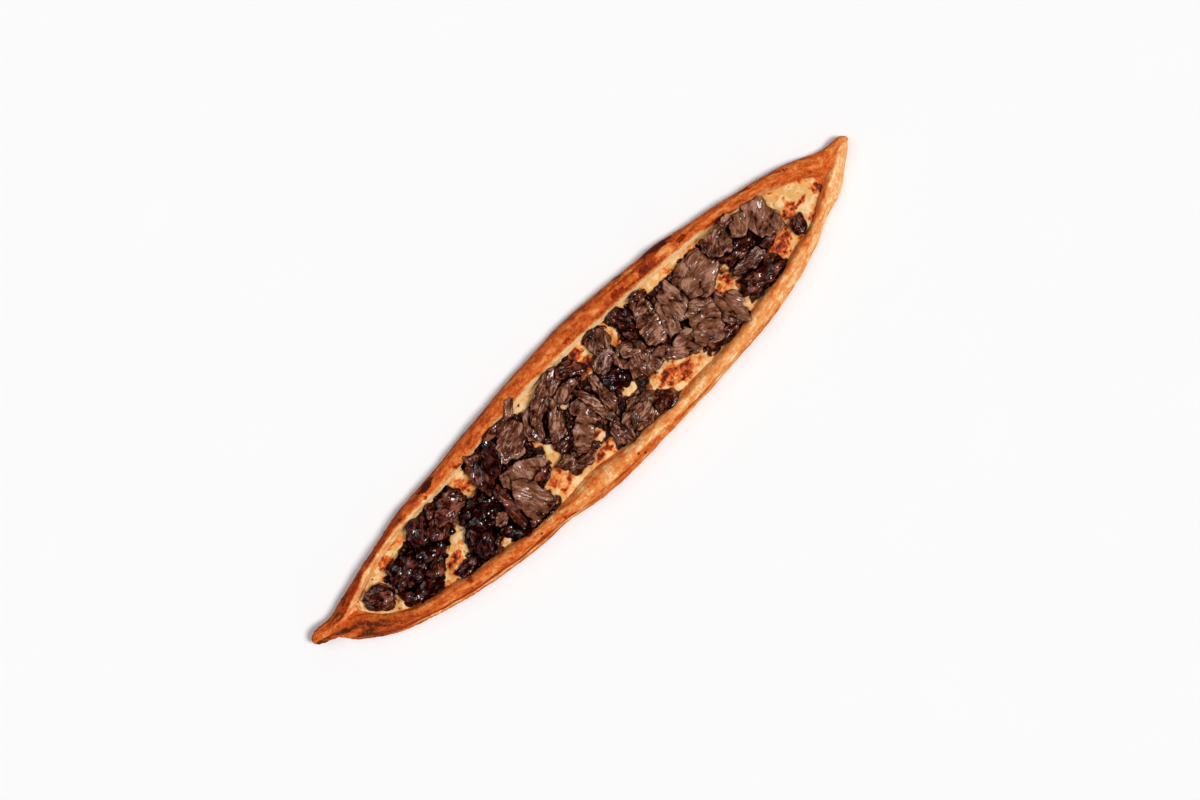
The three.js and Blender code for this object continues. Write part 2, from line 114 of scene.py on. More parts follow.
@dataclass(frozen=True)
class Noise:
    """Smooth lattice noise that is the same for the same seed."""

    seed: int

    def _slopes(self, cells: Points) -> Points:
        """Work out the noise's slope at each corner of the lattice.

        Args:
            cells: The corners' whole-numbered places, one row each.

        Returns:
            Three pseudo-random numbers from -1 to 1 for each corner.
        """
        mixed = np.full(len(cells), (self.seed * 2654435761) & 0xFFFFFFFF, np.uint32)
        for axis, prime in enumerate((374761393, 668265263, 2246822519)):
            mixed ^= cells[:, axis].astype(np.uint32) * np.uint32(prime)
            mixed ^= mixed >> np.uint32(15)
            mixed *= np.uint32(2246822519)
            mixed ^= mixed >> np.uint32(13)
        shifts = np.array([0, 10, 20], np.uint32)
        return ((mixed[:, None] >> shifts) & np.uint32(1023)) / 511.5 - 1.0

    def at(self, points: Points, size: float | Sequence[float]) -> Values:
        """Sample the noise.

        Args:
            points: Places, one row each.
            size: Spacing of the lattice, one number or one for each axis.

        Returns:
            A value from about -1 to 1 for each point.
        """
        scaled = points / np.asarray(size, float)
        cells = np.floor(scaled).astype(np.int64)
        inside = scaled - cells
        fade = inside**3 * (inside * (inside * 6 - 15) + 10)
        total = np.zeros(len(points))
        for corner in itertools.product((0, 1), repeat=3):
            offset = np.array(corner)
            weight = np.prod(np.where(offset, fade, 1 - fade), axis=1)
            total += weight * np.sum(self._slopes(cells + offset) * (inside - offset), axis=1)
        return total * 1.5

    def layers(self, points: Points, size: float | Sequence[float], count: int) -> Values:
        """Add up finer and fainter layers, each half the size and strength of the last."""
        sizes = [np.asarray(size, float) / 2**k for k in range(count)]
        return sum(Noise(self.seed + k).at(points, s) / 2**k for k, s in enumerate(sizes))

    def lumps(self, points: Points, size: float | Sequence[float]) -> Values:
        """Return rounded lumps between sharp creases, from -1 to 1."""
        return 2.0 * np.minimum(1.0, 1.8 * np.abs(self.at(points, size))) - 1.0


# ---- meshes -------------------------------------------------------------------------------
@dataclass
class Skin:
    """The vertices of a piece's mesh as arrays, so that relief and marks are worked out at once."""

    piece: bpy.types.Object
    points: Points = field(init=False)
    normals: Points = field(init=False)

    def __post_init__(self) -> None:
        """Read the mesh."""
        self.read()

    def read(self) -> None:
        """Take the vertices and their normals from the mesh."""
        mesh = self.piece.data
        self.points = np.empty(len(mesh.vertices) * 3)
        mesh.vertices.foreach_get("co", self.points)
        self.points = self.points.reshape(-1, 3)
        self.normals = np.empty(len(mesh.vertices) * 3)
        mesh.vertex_normals.foreach_get("vector", self.normals)
        self.normals = self.normals.reshape(-1, 3)

    def push(self, distance: Values) -> None:
        """Move every vertex along its normal.

        Args:
            distance: How far each vertex moves outwards, in metres.
        """
        self.points = self.points + self.normals * distance[:, None]
        self.piece.data.vertices.foreach_set("co", self.points.ravel())
        self.piece.data.update()
        self.read()

    def mark(self, name: str, values: Values) -> None:
        """Store one number for each vertex, from 0 to 1, for the material to read."""
        layer = self.piece.data.attributes.new(name, "FLOAT", "POINT")
        layer.data.foreach_set("value", np.clip(values, 0.0, 1.0).astype(np.float32))

    def mark_vector(self, name: str, vectors: Points) -> None:
        """Store a place for each vertex, for the material to read as coordinates."""
        layer = self.piece.data.attributes.new(name, "FLOAT_VECTOR", "POINT")
        layer.data.foreach_set("vector", vectors.astype(np.float32).ravel())


def link(name: str, data: bpy.types.ID) -> bpy.types.Object:
    """Make an object and put it into the scene.

    Args:
        name: The object's name.
        data: Its mesh, light or camera.

    Returns:
        The object.
    """
    piece = bpy.data.objects.new(name, data)
    bpy.context.scene.collection.objects.link(piece)
    return piece


def fine_copy(node: str, name: str, voxel: float, easing: int, rounded: bool) -> bpy.types.Object:
    """Model a finely divided piece over a solid of the frame.

    Args:
        node: The solid that the piece stands for.
        name: The piece's name.
        voxel: Length of the faces' sides.
        easing: Rounds of smoothing.
        rounded: Whether the facets are first bent into one flowing surface.

    Returns:
        The piece, which replaces the node and rides with the body.
    """
    shape = bmesh.new()
    shape.from_mesh(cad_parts[node].data)
    bmesh.ops.remove_doubles(shape, verts=shape.verts, dist=0.01 * MM)
    mesh = bpy.data.meshes.new(name)
    shape.to_mesh(mesh)
    shape.free()
    piece = link(name, mesh)
    if rounded:
        rounding = piece.modifiers.new("rounding", "SUBSURF")
        rounding.levels = rounding.render_levels = 1
    dividing = piece.modifiers.new("dividing", "REMESH")
    dividing.mode = "VOXEL"
    dividing.voxel_size = voxel
    smoothing = piece.modifiers.new("smoothing", "SMOOTH")
    smoothing.factor = 0.5
    smoothing.iterations = easing
    depsgraph = bpy.context.evaluated_depsgraph_get()
    fine = bpy.data.meshes.new_from_object(piece.evaluated_get(depsgraph))
    piece.modifiers.clear()
    piece.data = fine
    fine.name = name
    fine.materials.clear()
    fine.shade_smooth()
    bpy.data.meshes.remove(mesh)
    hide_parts(node)
    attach(piece, ROOT)
    return piece


@dataclass
class HeightField:
    """Heights seen from above on a square grid."""

    step: float = 1.0 * MM
    margin: float = 6 * MM
    cells: Points = field(init=False)
    low: Points = field(init=False)

    def __post_init__(self) -> None:
        """Lay out an empty grid over the whole part."""
        self.low = np.array(CAD_BOX[0][:2]) - self.margin
        high = np.array(CAD_BOX[1][:2]) + self.margin
        self.cells = np.zeros(np.ceil((high - self.low) / self.step).astype(int) + 1)

    def _indices(self, points: Points) -> tuple[Values, Values]:
        """Find the grid cell of each point.

        Args:
            points: Places, one row each.

        Returns:
            The cells' rows and columns.
        """
        cell = np.round((points[:, :2] - self.low) / self.step).astype(int)
        cell = np.clip(cell, 0, np.array(self.cells.shape) - 1)
        return cell[:, 0], cell[:, 1]

    def add(self, points: Points) -> None:
        """Raise the grid to the points that lie above it."""
        np.maximum.at(self.cells, self._indices(points), points[:, 2])

    def sample(self, values: Points, points: Points) -> Values:
        """Read a grid of values under or over each point."""
        return values[self._indices(points)]

    def centres(self) -> Points:
        """List the middles of the cells.

        Returns:
            A place at height 0 for every cell, one row each.
        """
        rows, columns = np.indices(self.cells.shape)
        places = self.low + np.column_stack([rows.ravel(), columns.ravel()]) * self.step
        return np.column_stack([places, np.zeros(len(places))])

    def blurred(self, values: Points, reach: float) -> Points:
        """Spread a grid of values, as two passes of a box.

        Args:
            values: One value for each cell.
            reach: Half the box's side, in metres.

        Returns:
            The spread values.
        """
        count = max(1, int(round(reach / self.step)))
        for axis in (0, 1, 0, 1):
            shifted = [np.roll(values, k, axis) for k in range(-count, count + 1)]
            values = sum(shifted) / len(shifted)
        return values


@dataclass(frozen=True)
class Spot:
    """An oval mark with a ragged edge, in millimetres and degrees."""

    x: float
    y: float
    length: float
    width: float
    turn: float = 0.0
    strength: float = 1.0
    edge: Fade = (1.35, 0.55)
    raggedness: float = 0.45

    def cover(self, points: Points, ragged: Values) -> Values:
        """Work out how strongly the mark covers each point.

        Args:
            points: Places in metres.
            ragged: Noise that bends the mark's edge, from -1 to 1.

        Returns:
            The strength at each point, 0 outside the mark.
        """
        away = points[:, :2] / MM - np.array([self.x, self.y])
        angle = math.radians(self.turn)
        along = away[:, 0] * math.cos(angle) + away[:, 1] * math.sin(angle)
        across = away[:, 1] * math.cos(angle) - away[:, 0] * math.sin(angle)
        reach = np.hypot(along / (self.length / 2), across / (self.width / 2))
        return self.strength * smooth(*self.edge, reach + self.raggedness * ragged)


def strongest(spots: Iterable[Spot], points: Points, ragged: Values) -> Values:
    """Return the strongest cover of several marks at each point."""
    return np.max([spot.cover(points, ragged) for spot in spots], axis=0)


# ---- shaders ------------------------------------------------------------------------------
@dataclass
class Shader:
    """A node tree that is put together from its inputs to its outputs."""

    tree: bpy.types.NodeTree

    def feed(self, node: bpy.types.Node, sources: dict[int | str, object]) -> None:
        """Link or set a node's inputs.

        Args:
            node: The node to feed.
            sources: Another node's socket, or a value, for each input's name or number.
        """
        for name, source in sources.items():
            if isinstance(source, Socket):
                self.tree.links.new(source, node.inputs[name])
            else:
                node.inputs[name].default_value = source

    def node(
        self, kind: str, sources: dict[int | str, object] | None = None, **settings: object
    ) -> bpy.types.Node:
        """Add a node.

        Args:
            kind: The node's type.
            sources: What its inputs are fed with, as in feed.
            settings: Its properties.

        Returns:
            The node.
        """
        node = self.tree.nodes.new(kind)
        for name, value in settings.items():
            setattr(node, name, value)
        self.feed(node, sources or {})
        return node

    def maths(self, operation: str, first: object, second: object) -> Socket:
        """Add a Math node and return its result."""
        node = self.node("ShaderNodeMath", {0: first, 1: second}, operation=operation)
        return node.outputs[0]

    def swing(self, pattern: object, reach: float) -> Socket:
        """Turn a pattern about 0.5 into a shift about 0."""
        return self.maths("MULTIPLY", self.maths("SUBTRACT", pattern, 0.5), reach)

    def step(
        self, source: object, start: float, end: float, low: float = 0.0, high: float = 1.0
    ) -> Socket:
        """Ease from one value to another while a source rises.

        Args:
            source: The socket that rises.
            start: Its value where the easing starts.
            end: Its value where the easing ends.
            low: The result up to the start.
            high: The result from the end on.

        Returns:
            The result's socket.
        """
        names = ("Value", "From Min", "From Max", "To Min", "To Max")
        sources = dict(zip(names, (source, start, end, low, high)))
        node = self.node("ShaderNodeMapRange", sources, interpolation_type="SMOOTHSTEP")
        return node.outputs["Result"]

    def mix(self, share: object, low: object, high: object) -> Socket:
        """Mix two colours by a share."""
        node = self.node("ShaderNodeMix", {0: share, 6: low, 7: high}, data_type="RGBA")
        return node.outputs[2]

    def between(self, share: object, low: object, high: object) -> Socket:
        """Mix two numbers by a share."""
        node = self.node("ShaderNodeMix", {0: share, 2: low, 3: high}, data_type="FLOAT")
        return node.outputs[0]

    def ramp(self, level: object, stops: Sequence[tuple[float, str]]) -> Socket:
        """Grade colours over a level.

        Args:
            level: The level's socket.
            stops: Levels and sRGB codes, from level 0 to level 1.

        Returns:
            The colour's socket.
        """
        node = self.node("ShaderNodeValToRGB", {0: level})
        elements = node.color_ramp.elements
        elements[0].color, elements[1].color = srgb(stops[0][1]), srgb(stops[-1][1])
        for position, code in stops[1:-1]:
            elements.new(position).color = srgb(code)
        return node.outputs[0]

    def mark(self, name: str) -> Socket:
        """Read one of the piece's own marks."""
        return self.node("ShaderNodeAttribute", attribute_name=name).outputs["Fac"]

    def mark_vector(self, name: str) -> Socket:
        """Read the piece's own coordinates."""
        return self.node("ShaderNodeAttribute", attribute_name=name).outputs["Vector"]

    def place(self) -> Socket:
        """Read the Object coordinates."""
        return self.node("ShaderNodeTexCoord").outputs["Object"]

    def stretch(self, vector: Socket, sizes: Sequence[float]) -> Socket:
        """Scale coordinates so that a pattern has its own size along each axis.

        Args:
            vector: The coordinates, in metres.
            sizes: The pattern's size along each axis, in millimetres.

        Returns:
            Coordinates for a texture of scale 1.
        """
        scale = [1 / (size * MM) for size in sizes]
        return self.node("ShaderNodeMapping", {"Vector": vector, "Scale": scale}).outputs[0]

    def noise(
        self, vector: object, scale: float = 1.0, detail: float = 2.0, bend: float = 0.0
    ) -> Socket:
        """Add a noise texture and return its value, about 0.5 on average."""
        sources = {"Vector": vector, "Scale": scale, "Detail": detail, "Distortion": bend}
        return self.node("ShaderNodeTexNoise", sources).outputs["Fac"]

    def specks(self, size: float, detail: float = 3.0) -> Socket:
        """Add noise of one size in millimetres in the Object coordinates."""
        return self.noise(self.stretch(self.place(), (size, size, size)), 1.0, detail)

    def group(self, made: bpy.types.NodeTree, **sources: object) -> Socket:
        """Place a shared group, feed its inputs and return its output."""
        return self.node("ShaderNodeGroup", sources, node_tree=made).outputs[0]

    def bump(self, height: object, strength: float, depth: float) -> Socket:
        """Turn a height from 0 to 1 into a normal; depth is in millimetres."""
        sources = {"Height": height, "Strength": strength, "Distance": depth * MM}
        return self.node("ShaderNodeBump", sources).outputs["Normal"]


def new_group(
    name: str, output: tuple[str, str], **inputs: str
) -> tuple[Shader, bpy.types.Node, list[Socket]]:
    """Start a shared shader group.

    Args:
        name: The group's name.
        output: Name and kind of its output.
        inputs: The kind of each input, by its name.

    Returns:
        A shader to fill the group, the node that takes its output, and its inputs in order.
    """
    tree = bpy.data.node_groups.new(name, "ShaderNodeTree")
    for way, sockets in (("INPUT", inputs.items()), ("OUTPUT", [output])):
        for title, kind in sockets:
            tree.interface.new_socket(title, in_out=way, socket_type=f"NodeSocket{kind}")
    shader = Shader(tree)
    start, end = shader.node("NodeGroupInput"), shader.node("NodeGroupOutput")
    return shader, end, [start.outputs[title] for title in inputs]


def new_material(name: str) -> tuple[bpy.types.Material, Shader, bpy.types.Node]:
    """Start a material.

    Args:
        name: The material's name.

    Returns:
        The material, a shader to fill it and its Principled node.
    """
    material = bpy.data.materials.new(name)
    material.use_nodes = True
    shader = Shader(material.node_tree)
    return material, shader, material.node_tree.nodes["Principled BSDF"]


class SharedGroups:
    """Shader groups that more than one finish uses."""

    def __init__(self) -> None:
        """Build every group once."""
        self.mottle = self._mottle()
        self.fibre = self._fibre()
        self.tint = self._tint()

    @staticmethod
    def _mottle() -> bpy.types.NodeTree:
        """Shift a level up and down in blotches, with finer ones inside them.

        Returns:
            The group.
        """
        shader, end, (vector, level, reach) = new_group(
            "mottle", ("Level", "Float"), Vector="Vector", Level="Float", Reach="Float"
        )
        broad = shader.noise(vector, 1.0, 3.0, 0.4)
        fine = shader.noise(vector, 2.7, 2.0)
        both = shader.maths("ADD", shader.swing(broad, 1.0), shader.swing(fine, 0.7))
        shift = shader.maths("MULTIPLY", both, reach)
        shader.feed(end, {"Level": shader.maths("ADD", level, shift)})
        return shader.tree

    @staticmethod
    def _fibre() -> bpy.types.NodeTree:
        """Make wavering lines along the first axis of the coordinates.

        Returns:
            The group.
        """
        shader, end, (vector, length, width) = new_group(
            "fibre", ("Height", "Float"), Vector="Vector", Length="Float", Width="Float"
        )
        split = shader.node("ShaderNodeSeparateXYZ", {0: vector})
        scaled = [
            shader.maths("DIVIDE", part, size)
            for part, size in zip(split.outputs, (length, width, width))
        ]
        joined = shader.node("ShaderNodeCombineXYZ", dict(enumerate(scaled))).outputs[0]
        coarse = shader.noise(joined, 1.0, 2.0, 0.6)
        fine = shader.noise(joined, 2.9, 2.0, 0.3)
        height = shader.between(0.4, coarse, fine)
        shader.feed(end, {"Height": shader.step(height, 0.32, 0.68)})
        return shader.tree

    @staticmethod
    def _tint() -> bpy.types.NodeTree:
        """Grade three colours over a level from 0 to 1.

        Returns:
            The group.
        """
        shader, end, (level, dark, middle, light) = new_group(
            "tint", ("Colour", "Color"), Level="Float", Dark="Color", Middle="Color", Light="Color"
        )
        lower = shader.mix(shader.step(level, 0.0, 0.5), dark, middle)
        whole = shader.mix(shader.step(level, 0.5, 1.0), lower, light)
        shader.feed(end, {"Colour": whole})
        return shader.tree


# ---- dough --------------------------------------------------------------------------------
@dataclass(frozen=True)
class CrustFinish:
    """Baked dough: pale where it was shaded or floured, orange to deep brown on its crowns."""

    stops: tuple[tuple[float, str], ...] = (
        (0.0, "FFD8A2"),
        (0.2, "E99E5C"),
        (0.45, "DC6E30"),
        (0.65, "C2501E"),
        (0.85, "8A3A12"),
        (1.0, "50220C"),
    )
    scorched: str = "862004"
    scorched_edge: str = "AE3C0C"
    dusty: str = "A47C66"
    char: str = "38160A"
    streak_size: tuple[float, float, float] = (16, 3.4, 3.4)
    blotch_size: tuple[float, float, float] = (9, 7, 7)
    grain_size: float = 1.6
    pale_rough: float = 0.72
    brown_rough: float = 0.48
    sheen: float = 0.12
    pore_depth: float = 0.7

    def material(self, groups: SharedGroups) -> bpy.types.Material:
        """Build the material, which reads the marks of DoughCrust.

        Args:
            groups: Shared shader groups.

        Returns:
            The crust's material.
        """
        material, shader, skin = new_material("baked_dough")
        along = shader.mark_vector("rim")
        streaks = shader.noise(shader.stretch(along, self.streak_size), 1.0, 3.0, 0.4)
        grain = shader.specks(self.grain_size)
        level = self._level(shader, groups, along, streaks, grain)
        base = shader.ramp(level, self.stops)
        base = shader.mix(shader.mark("dust"), base, srgb(self.dusty))
        pores = shader.between(0.5, grain, streaks)
        shader.feed(skin, {
            "Base Color": self._burns(shader, base, streaks, grain),
            "Roughness": shader.step(level, 0.1, 0.9, self.pale_rough, self.brown_rough),
            "Specular IOR Level": 0.0,
            "Coat Weight": shader.step(level, 0.35, 0.8, 0.0, self.sheen),
            "Coat Roughness": 0.4,
            "Normal": shader.bump(pores, 0.6, self.pore_depth),
        })
        return material

    def _level(
        self, shader: Shader, groups: SharedGroups, along: Socket, streaks: Socket, grain: Socket
    ) -> Socket:
        """Vary the browning, less so on pale dough.

        Args:
            shader: The material's shader.
            groups: Shared shader groups.
            along: Coordinates along the rim.
            streaks: Streaky noise along the rim.
            grain: Fine noise.

        Returns:
            How brown the dough is, about 0 where it is pale and 1 where it is deep brown.
        """
        blotches = shader.stretch(along, self.blotch_size)
        streaked = shader.swing(streaks, 0.8)
        shift = shader.group(groups.mottle, Vector=blotches, Level=streaked, Reach=0.9)
        shift = shader.maths("ADD", shift, shader.swing(grain, 0.55))
        browning = shader.mark("browning")
        shift = shader.maths("MULTIPLY", shift, shader.step(browning, 0.05, 0.4, 0.5, 1.0))
        return shader.maths("ADD", browning, shift)

    def _burns(self, shader: Shader, base: Socket, streaks: Socket, grain: Socket) -> Socket:
        """Lay the crease and the burnt spots, red-brown round dark middles, over the dough.

        Args:
            shader: The material's shader.
            base: The dough's colour.
            streaks: Streaky noise along the rim.
            grain: Fine noise.

        Returns:
            The colour with its burns.
        """
        codes = (self.scorched, self.scorched_edge, self.char)
        scorched, edge, char = (srgb(code) for code in codes)
        crease = shader.maths("ADD", shader.mark("crease"), shader.swing(streaks, 1.2))
        baked_on = shader.mix(shader.step(grain, 0.36, 0.64), scorched, edge)
        base = shader.mix(shader.step(crease, 0.15, 0.65, 0.0, 0.92), base, baked_on)
        burnt = shader.maths("ADD", shader.mark("char"), shader.swing(grain, 1.0))
        base = shader.mix(shader.step(burnt, 0.22, 0.5, 0.0, 0.85), base, scorched)
        return shader.mix(shader.step(burnt, 0.5, 0.9, 0.0, 0.9), base, char)


@dataclass
class BoatLines:
    """Lines along the boat, measured on the dough: its edges and the rims' inner edges."""

    dough: Points
    cheese: Points
    step: float = 2.5 * MM
    thinnest: float = 2 * MM
    tip: float = 3 * MM
    stations: Values = field(init=False)
    lines: dict[str, Values] = field(init=False)

    def __post_init__(self) -> None:
        """Measure the lines in slices along the boat."""
        x, y = self.dough[:, 0], self.dough[:, 1]
        ends = x.min(), x.max()
        self.stations = np.arange(ends[0], ends[1] + self.step, self.step)
        tips = [float(y[np.abs(x - end) < self.tip].mean()) for end in ends]
        middle = self._line(self.cheese, np.mean, tips)
        walls = self.dough[self.dough[:, 2] > CHEESE_LEVEL]
        upper = walls[:, 1] > np.interp(walls[:, 0], self.stations, middle)
        self.lines = {
            "middle": middle,
            "outer_low": self._line(self.dough, np.min),
            "outer_high": self._line(self.dough, np.max),
            "inner_low": self._line(walls[~upper], np.max),
            "inner_high": self._line(walls[upper], np.min),
        }

    def _line(
        self, points: Points, pick: Callable, tips: Sequence[float] | None = None
    ) -> Values:
        """Pick one place across the boat from each slice, and ease the line through them.

        Args:
            points: The points to pick from.
            pick: Function that picks a value from a slice's values.
            tips: Where the line ends, if it doesn't end at the points.

        Returns:
            The line's place across the boat at each station.
        """
        index = np.round((points[:, 0] - self.stations[0]) / self.step).astype(int)
        order = np.argsort(index, kind="stable")
        index, values = index[order], points[order, 1]
        edges = np.searchsorted(index, np.arange(len(self.stations) + 1))
        found = np.full(len(self.stations), np.nan)
        for i, (start, end) in enumerate(zip(edges, edges[1:])):
            if end > start:
                found[i] = pick(values[start:end])
        if tips is not None:
            found[0], found[-1] = tips
        known = ~np.isnan(found)
        filled = np.interp(self.stations, self.stations[known], found[known])
        return np.convolve(np.pad(filled, 2, "edge"), np.ones(5) / 5, "valid")

    def across(self, points: Points) -> tuple[Values, Values]:
        """Place points across the rims.

        Args:
            points: Places on the dough.

        Returns:
            The share of the way from the outer to the inner edge of the nearer rim, and the
            side: -1 on the lower rim and 1 on the upper one.
        """
        line = {name: np.interp(points[:, 0], self.stations, y) for name, y in self.lines.items()}
        side = np.where(points[:, 1] > line["middle"], 1.0, -1.0)
        outer = np.where(side > 0, line["outer_high"], line["outer_low"])
        inner = np.where(side > 0, line["inner_high"], line["inner_low"])
        width = -side * np.maximum(side * (outer - inner), self.thinnest)
        return (points[:, 1] - outer) / width, side


# Pairs of a place along the boat, in millimetres, and the value there.
Course = tuple[tuple[float, float], ...]


def follow(course: Course, x: Values) -> Values:
    """Read a course at places along the boat, in millimetres."""
    places, values = zip(*course)
    return np.interp(x, places, values)


@dataclass(frozen=True)
class Bake:
    """How brown a rim is, from 0, pale, to 1, deep brown: a browned crown over a paler inner slope.

    The courses say how brown the foot, the crown and the inner slope are, how much browner the
    last strip of the crown is, and where the crown ends. That end and the widths below them are
    shares of the way from the rim's outer edge to its inner one.
    """

    foot: Course
    crown: Course
    strip: Course
    end: Course
    slope: Course
    foot_width: float = 0.2
    strip_width: float = 0.12
    fade: float = 0.1

    def at(self, x: Values, across: Values) -> Values:
        """Work out how brown the rim is.

        Args:
            x: Places along the boat, in millimetres.
            across: Shares of the way from the rim's outer edge to its inner one.

        Returns:
            The level at each place.
        """
        courses = (self.foot, self.crown, self.strip, self.end, self.slope)
        foot, crown, strip, end, slope = (follow(course, x) for course in courses)
        level = blend(foot, crown, smooth(0.1 * self.foot_width, self.foot_width, across))
        level = level + strip * hump(end - self.fade, self.strip_width, across)
        return blend(level, slope, smooth(end - self.fade, end + self.fade, across))


LOWER_BAKE = Bake(
    foot=((-250, 0.8), (-180, 0.6), (-20, 0.5), (60, 0.2), (140, 0.4), (205, 0.15)),
    crown=((-250, 0.92), (-205, 0.68), (-170, 0.5), (-110, 0.47), (-20, 0.25), (150, 0.18),
           (275, 0.24)),
    strip=((185, 0.0), (205, 0.25), (225, 0.0)),
    end=((0, 0.7),),
    slope=((-250, 0.52), (-205, 0.48), (-120, 0.4), (-50, 0.3), (150, 0.3), (275, 0.36)),
)
UPPER_BAKE = Bake(
    foot=((-270, 0.78), (275, 0.7)),
    crown=((-270, 0.66), (-235, 0.82), (-200, 0.75), (-100, 0.56), (60, 0.54), (100, 0.64),
           (145, 0.55), (275, 0.5)),
    strip=((-250, 0.0), (-242, 0.2), (-228, 0.0), (-60, 0.0), (20, 0.14), (80, 0.28), (105, 0.22),
           (120, -0.2), (140, 0.1), (165, 0.16), (185, 0.0)),
    end=((-255, 0.95), (-235, 0.72), (-212, 0.54), (-170, 0.6), (-140, 0.76), (-110, 0.83),
         (-60, 0.85), (-40, 0.8), (110, 0.84), (145, 0.76), (165, 1.0), (185, 0.8), (205, 0.78),
         (235, 1.2)),
    slope=((-245, 0.25), (-200, 0.15), (-100, 0.05), (120, 0.0), (200, 0.15), (245, 0.45)),
)


@dataclass
class DoughCrust:
    """The boat of dough with its rolled rims."""

    finish: CrustFinish = CrustFinish()
    node: str = "dough_crust"
    voxel: float = 1.13 * MM
    swell: float = 0.35 * MM
    lump: float = 0.45 * MM
    streak: float = 0.3 * MM
    crackle: float = 0.3 * MM
    crease_depth: float = 0.6 * MM
    pit_depth: float = 0.8 * MM
    rim_width: float = 16 * MM
    lump_size: float = 17 * MM
    streak_size: tuple[float, float, float] = (26 * MM, 2.8 * MM, 30 * MM)
    crackle_size: float = 4 * MM
    ragged_size: float = 4 * MM
    crease_line: float = 0.21
    crease_width: float = 0.065
    faintness: float = 0.45
    lip_line: float = 0.12
    lip_width: float = 0.05
    lip_level: float = 0.12
    pale_level: float = 0.13
    spot_level: float = 0.25
    dust: float = 0.3
    # Fades in millimetres: up from the bottom, and along the boat.
    off_bottom: Fade = (0.4, 2.6)
    charred_from: Fade = (3, 9)
    crackled_from: Fade = (-150, -215)
    dusty_from: Fade = (-240, -200)
    lip_run: tuple[Fade, Fade] = ((-222, -205), (-50, -75))
    deep_crease: tuple[Fade, Fade] = ((-246, -228), (-55, -105))
    faint_crease: tuple[Fade, Fade] = ((-105, -60), (110, 60))
    char_spots: tuple[Spot, ...] = (
        Spot(-134, 39.5, 18, 6, 8, 1.0),
        Spot(-140, 33.5, 4, 4, 0, 0.6),
        Spot(-107, 34.8, 8, 4, -10, 0.6),
        Spot(-158, -34, 6, 6, 0, 0.5),
        Spot(18, 46.5, 10, 4, 0, 0.5),
        Spot(70, 46.5, 13, 6, 0, 0.6),
        Spot(95, 45.5, 12, 6, 0, 0.7),
        Spot(104, 45, 14, 5, 3, 0.5),
        Spot(113, 53.5, 34, 8, -8, 0.9),
        Spot(120.5, 52, 9, 7, -10, 1.1),
        Spot(132.5, 43.3, 11, 4, -3, 0.65),
        Spot(192, 38.5, 14, 4, -22, 0.55),
        Spot(222, 28.5, 12, 4, -25, 0.45),
        Spot(-236, -6, 5, 3, 60, 0.9),
        Spot(-213, -14, 3, 2, 0, 0.8),
        Spot(-95, -46, 2.4, 1.8, 0, 0.9),
        Spot(-74, -49, 2.4, 1.8, 0, 0.9),
        Spot(-1, -52, 2.4, 1.8, 0, 0.9),
        Spot(3, -55, 2.4, 1.6, 0, 0.9),
    )
    dark_streaks: tuple[Spot, ...] = (
        Spot(-230, 19, 34, 3, 22, 0.9),
        Spot(-186, 33, 46, 3.5, 13, 0.6),
        Spot(96, 50.5, 60, 3, -3, 0.55),
        Spot(166, 34.5, 22, 2.5, -14, 0.6),
    )
    brown_spots: tuple[Spot, ...] = (
        Spot(15, -53.5, 90, 5, 1, 1.0),
        Spot(124, -48, 34, 5, 8, 0.6),
    )
    pale_spots: tuple[Spot, ...] = (
        Spot(254, -2, 60, 14, 33, 1.0),
        Spot(-252, -3, 18, 6, -20, 0.5),
        Spot(117, 46, 13, 6, -15, 0.75),
    )

    def build(self, cheese: Points, groups: SharedGroups) -> Skin:
        """Model and dress the crust.

        Args:
            cheese: Points of the cheese layer, which show where the trough runs.
            groups: Shared shader groups.

        Returns:
            The crust's skin.
        """
        skin = Skin(fine_copy(self.node, "baked_crust", self.voxel, 4, rounded=True))
        lines = BoatLines(skin.points, cheese)
        across, side = lines.across(skin.points)
        x, height = skin.points[:, 0] / MM, skin.points[:, 2] / MM
        raised = smooth(*self.off_bottom, height)
        on_rim = raised * smooth(1.25, 1.0, across)
        crease = self._crease(skin.points, across, side) * raised
        ragged = Noise(15).layers(skin.points, self.ragged_size, 2)
        char = strongest(self.char_spots, skin.points, ragged)
        char *= smooth(*self.charred_from, height + 2 * ragged)
        rim = skin.points.copy()
        rim[:, 1] = across * self.rim_width * side
        crackled = on_rim * smooth(*self.crackled_from, x)
        dusty = (side > 0) * smooth(0.05, 0.02, across) * smooth(*self.dusty_from, x)
        relief = self.swell + self.lump * Noise(12).layers(skin.points, self.lump_size, 3)
        relief += self.streak * on_rim * Noise(13).layers(rim, self.streak_size, 2)
        relief += self.crackle * crackled * Noise(17).lumps(skin.points, self.crackle_size)
        relief -= self.crease_depth * crease + self.pit_depth * char * (side < 0)
        skin.push(relief * raised)
        skin.mark_vector("rim", rim)
        skin.mark("crease", crease)
        skin.mark("dust", self.dust * dusty)
        skin.mark("browning", self._browning(skin, x, across, side))
        skin.mark("char", char * raised)
        skin.piece.data.materials.append(self.finish.material(groups))
        return skin

    def _crease(self, points: Points, across: Values, side: Values) -> Values:
        """Find the dark lines: the crease outside the lower roll and streaks on the upper one.

        Args:
            points: Places on the dough.
            across: Shares of the way from the nearer rim's outer edge to its inner one.
            side: -1 on the lower rim and 1 on the upper one.

        Returns:
            How strong a line is at each point.
        """
        x = points[:, 0] / MM
        wander = Noise(11).layers(points * [1, 0, 0], 22 * MM, 2)
        width = self.crease_width + 0.04 * np.clip(wander, 0, 1)
        line = hump(self.crease_line + 0.03 * wander, width, across)
        strength = within(self.deep_crease, x) + self.faintness * within(self.faint_crease, x)
        lower = line * strength * (0.85 + 0.5 * wander)
        streaks = strongest(self.dark_streaks, points, Noise(18).layers(points, 5 * MM, 2))
        return np.where(side < 0, lower, streaks)

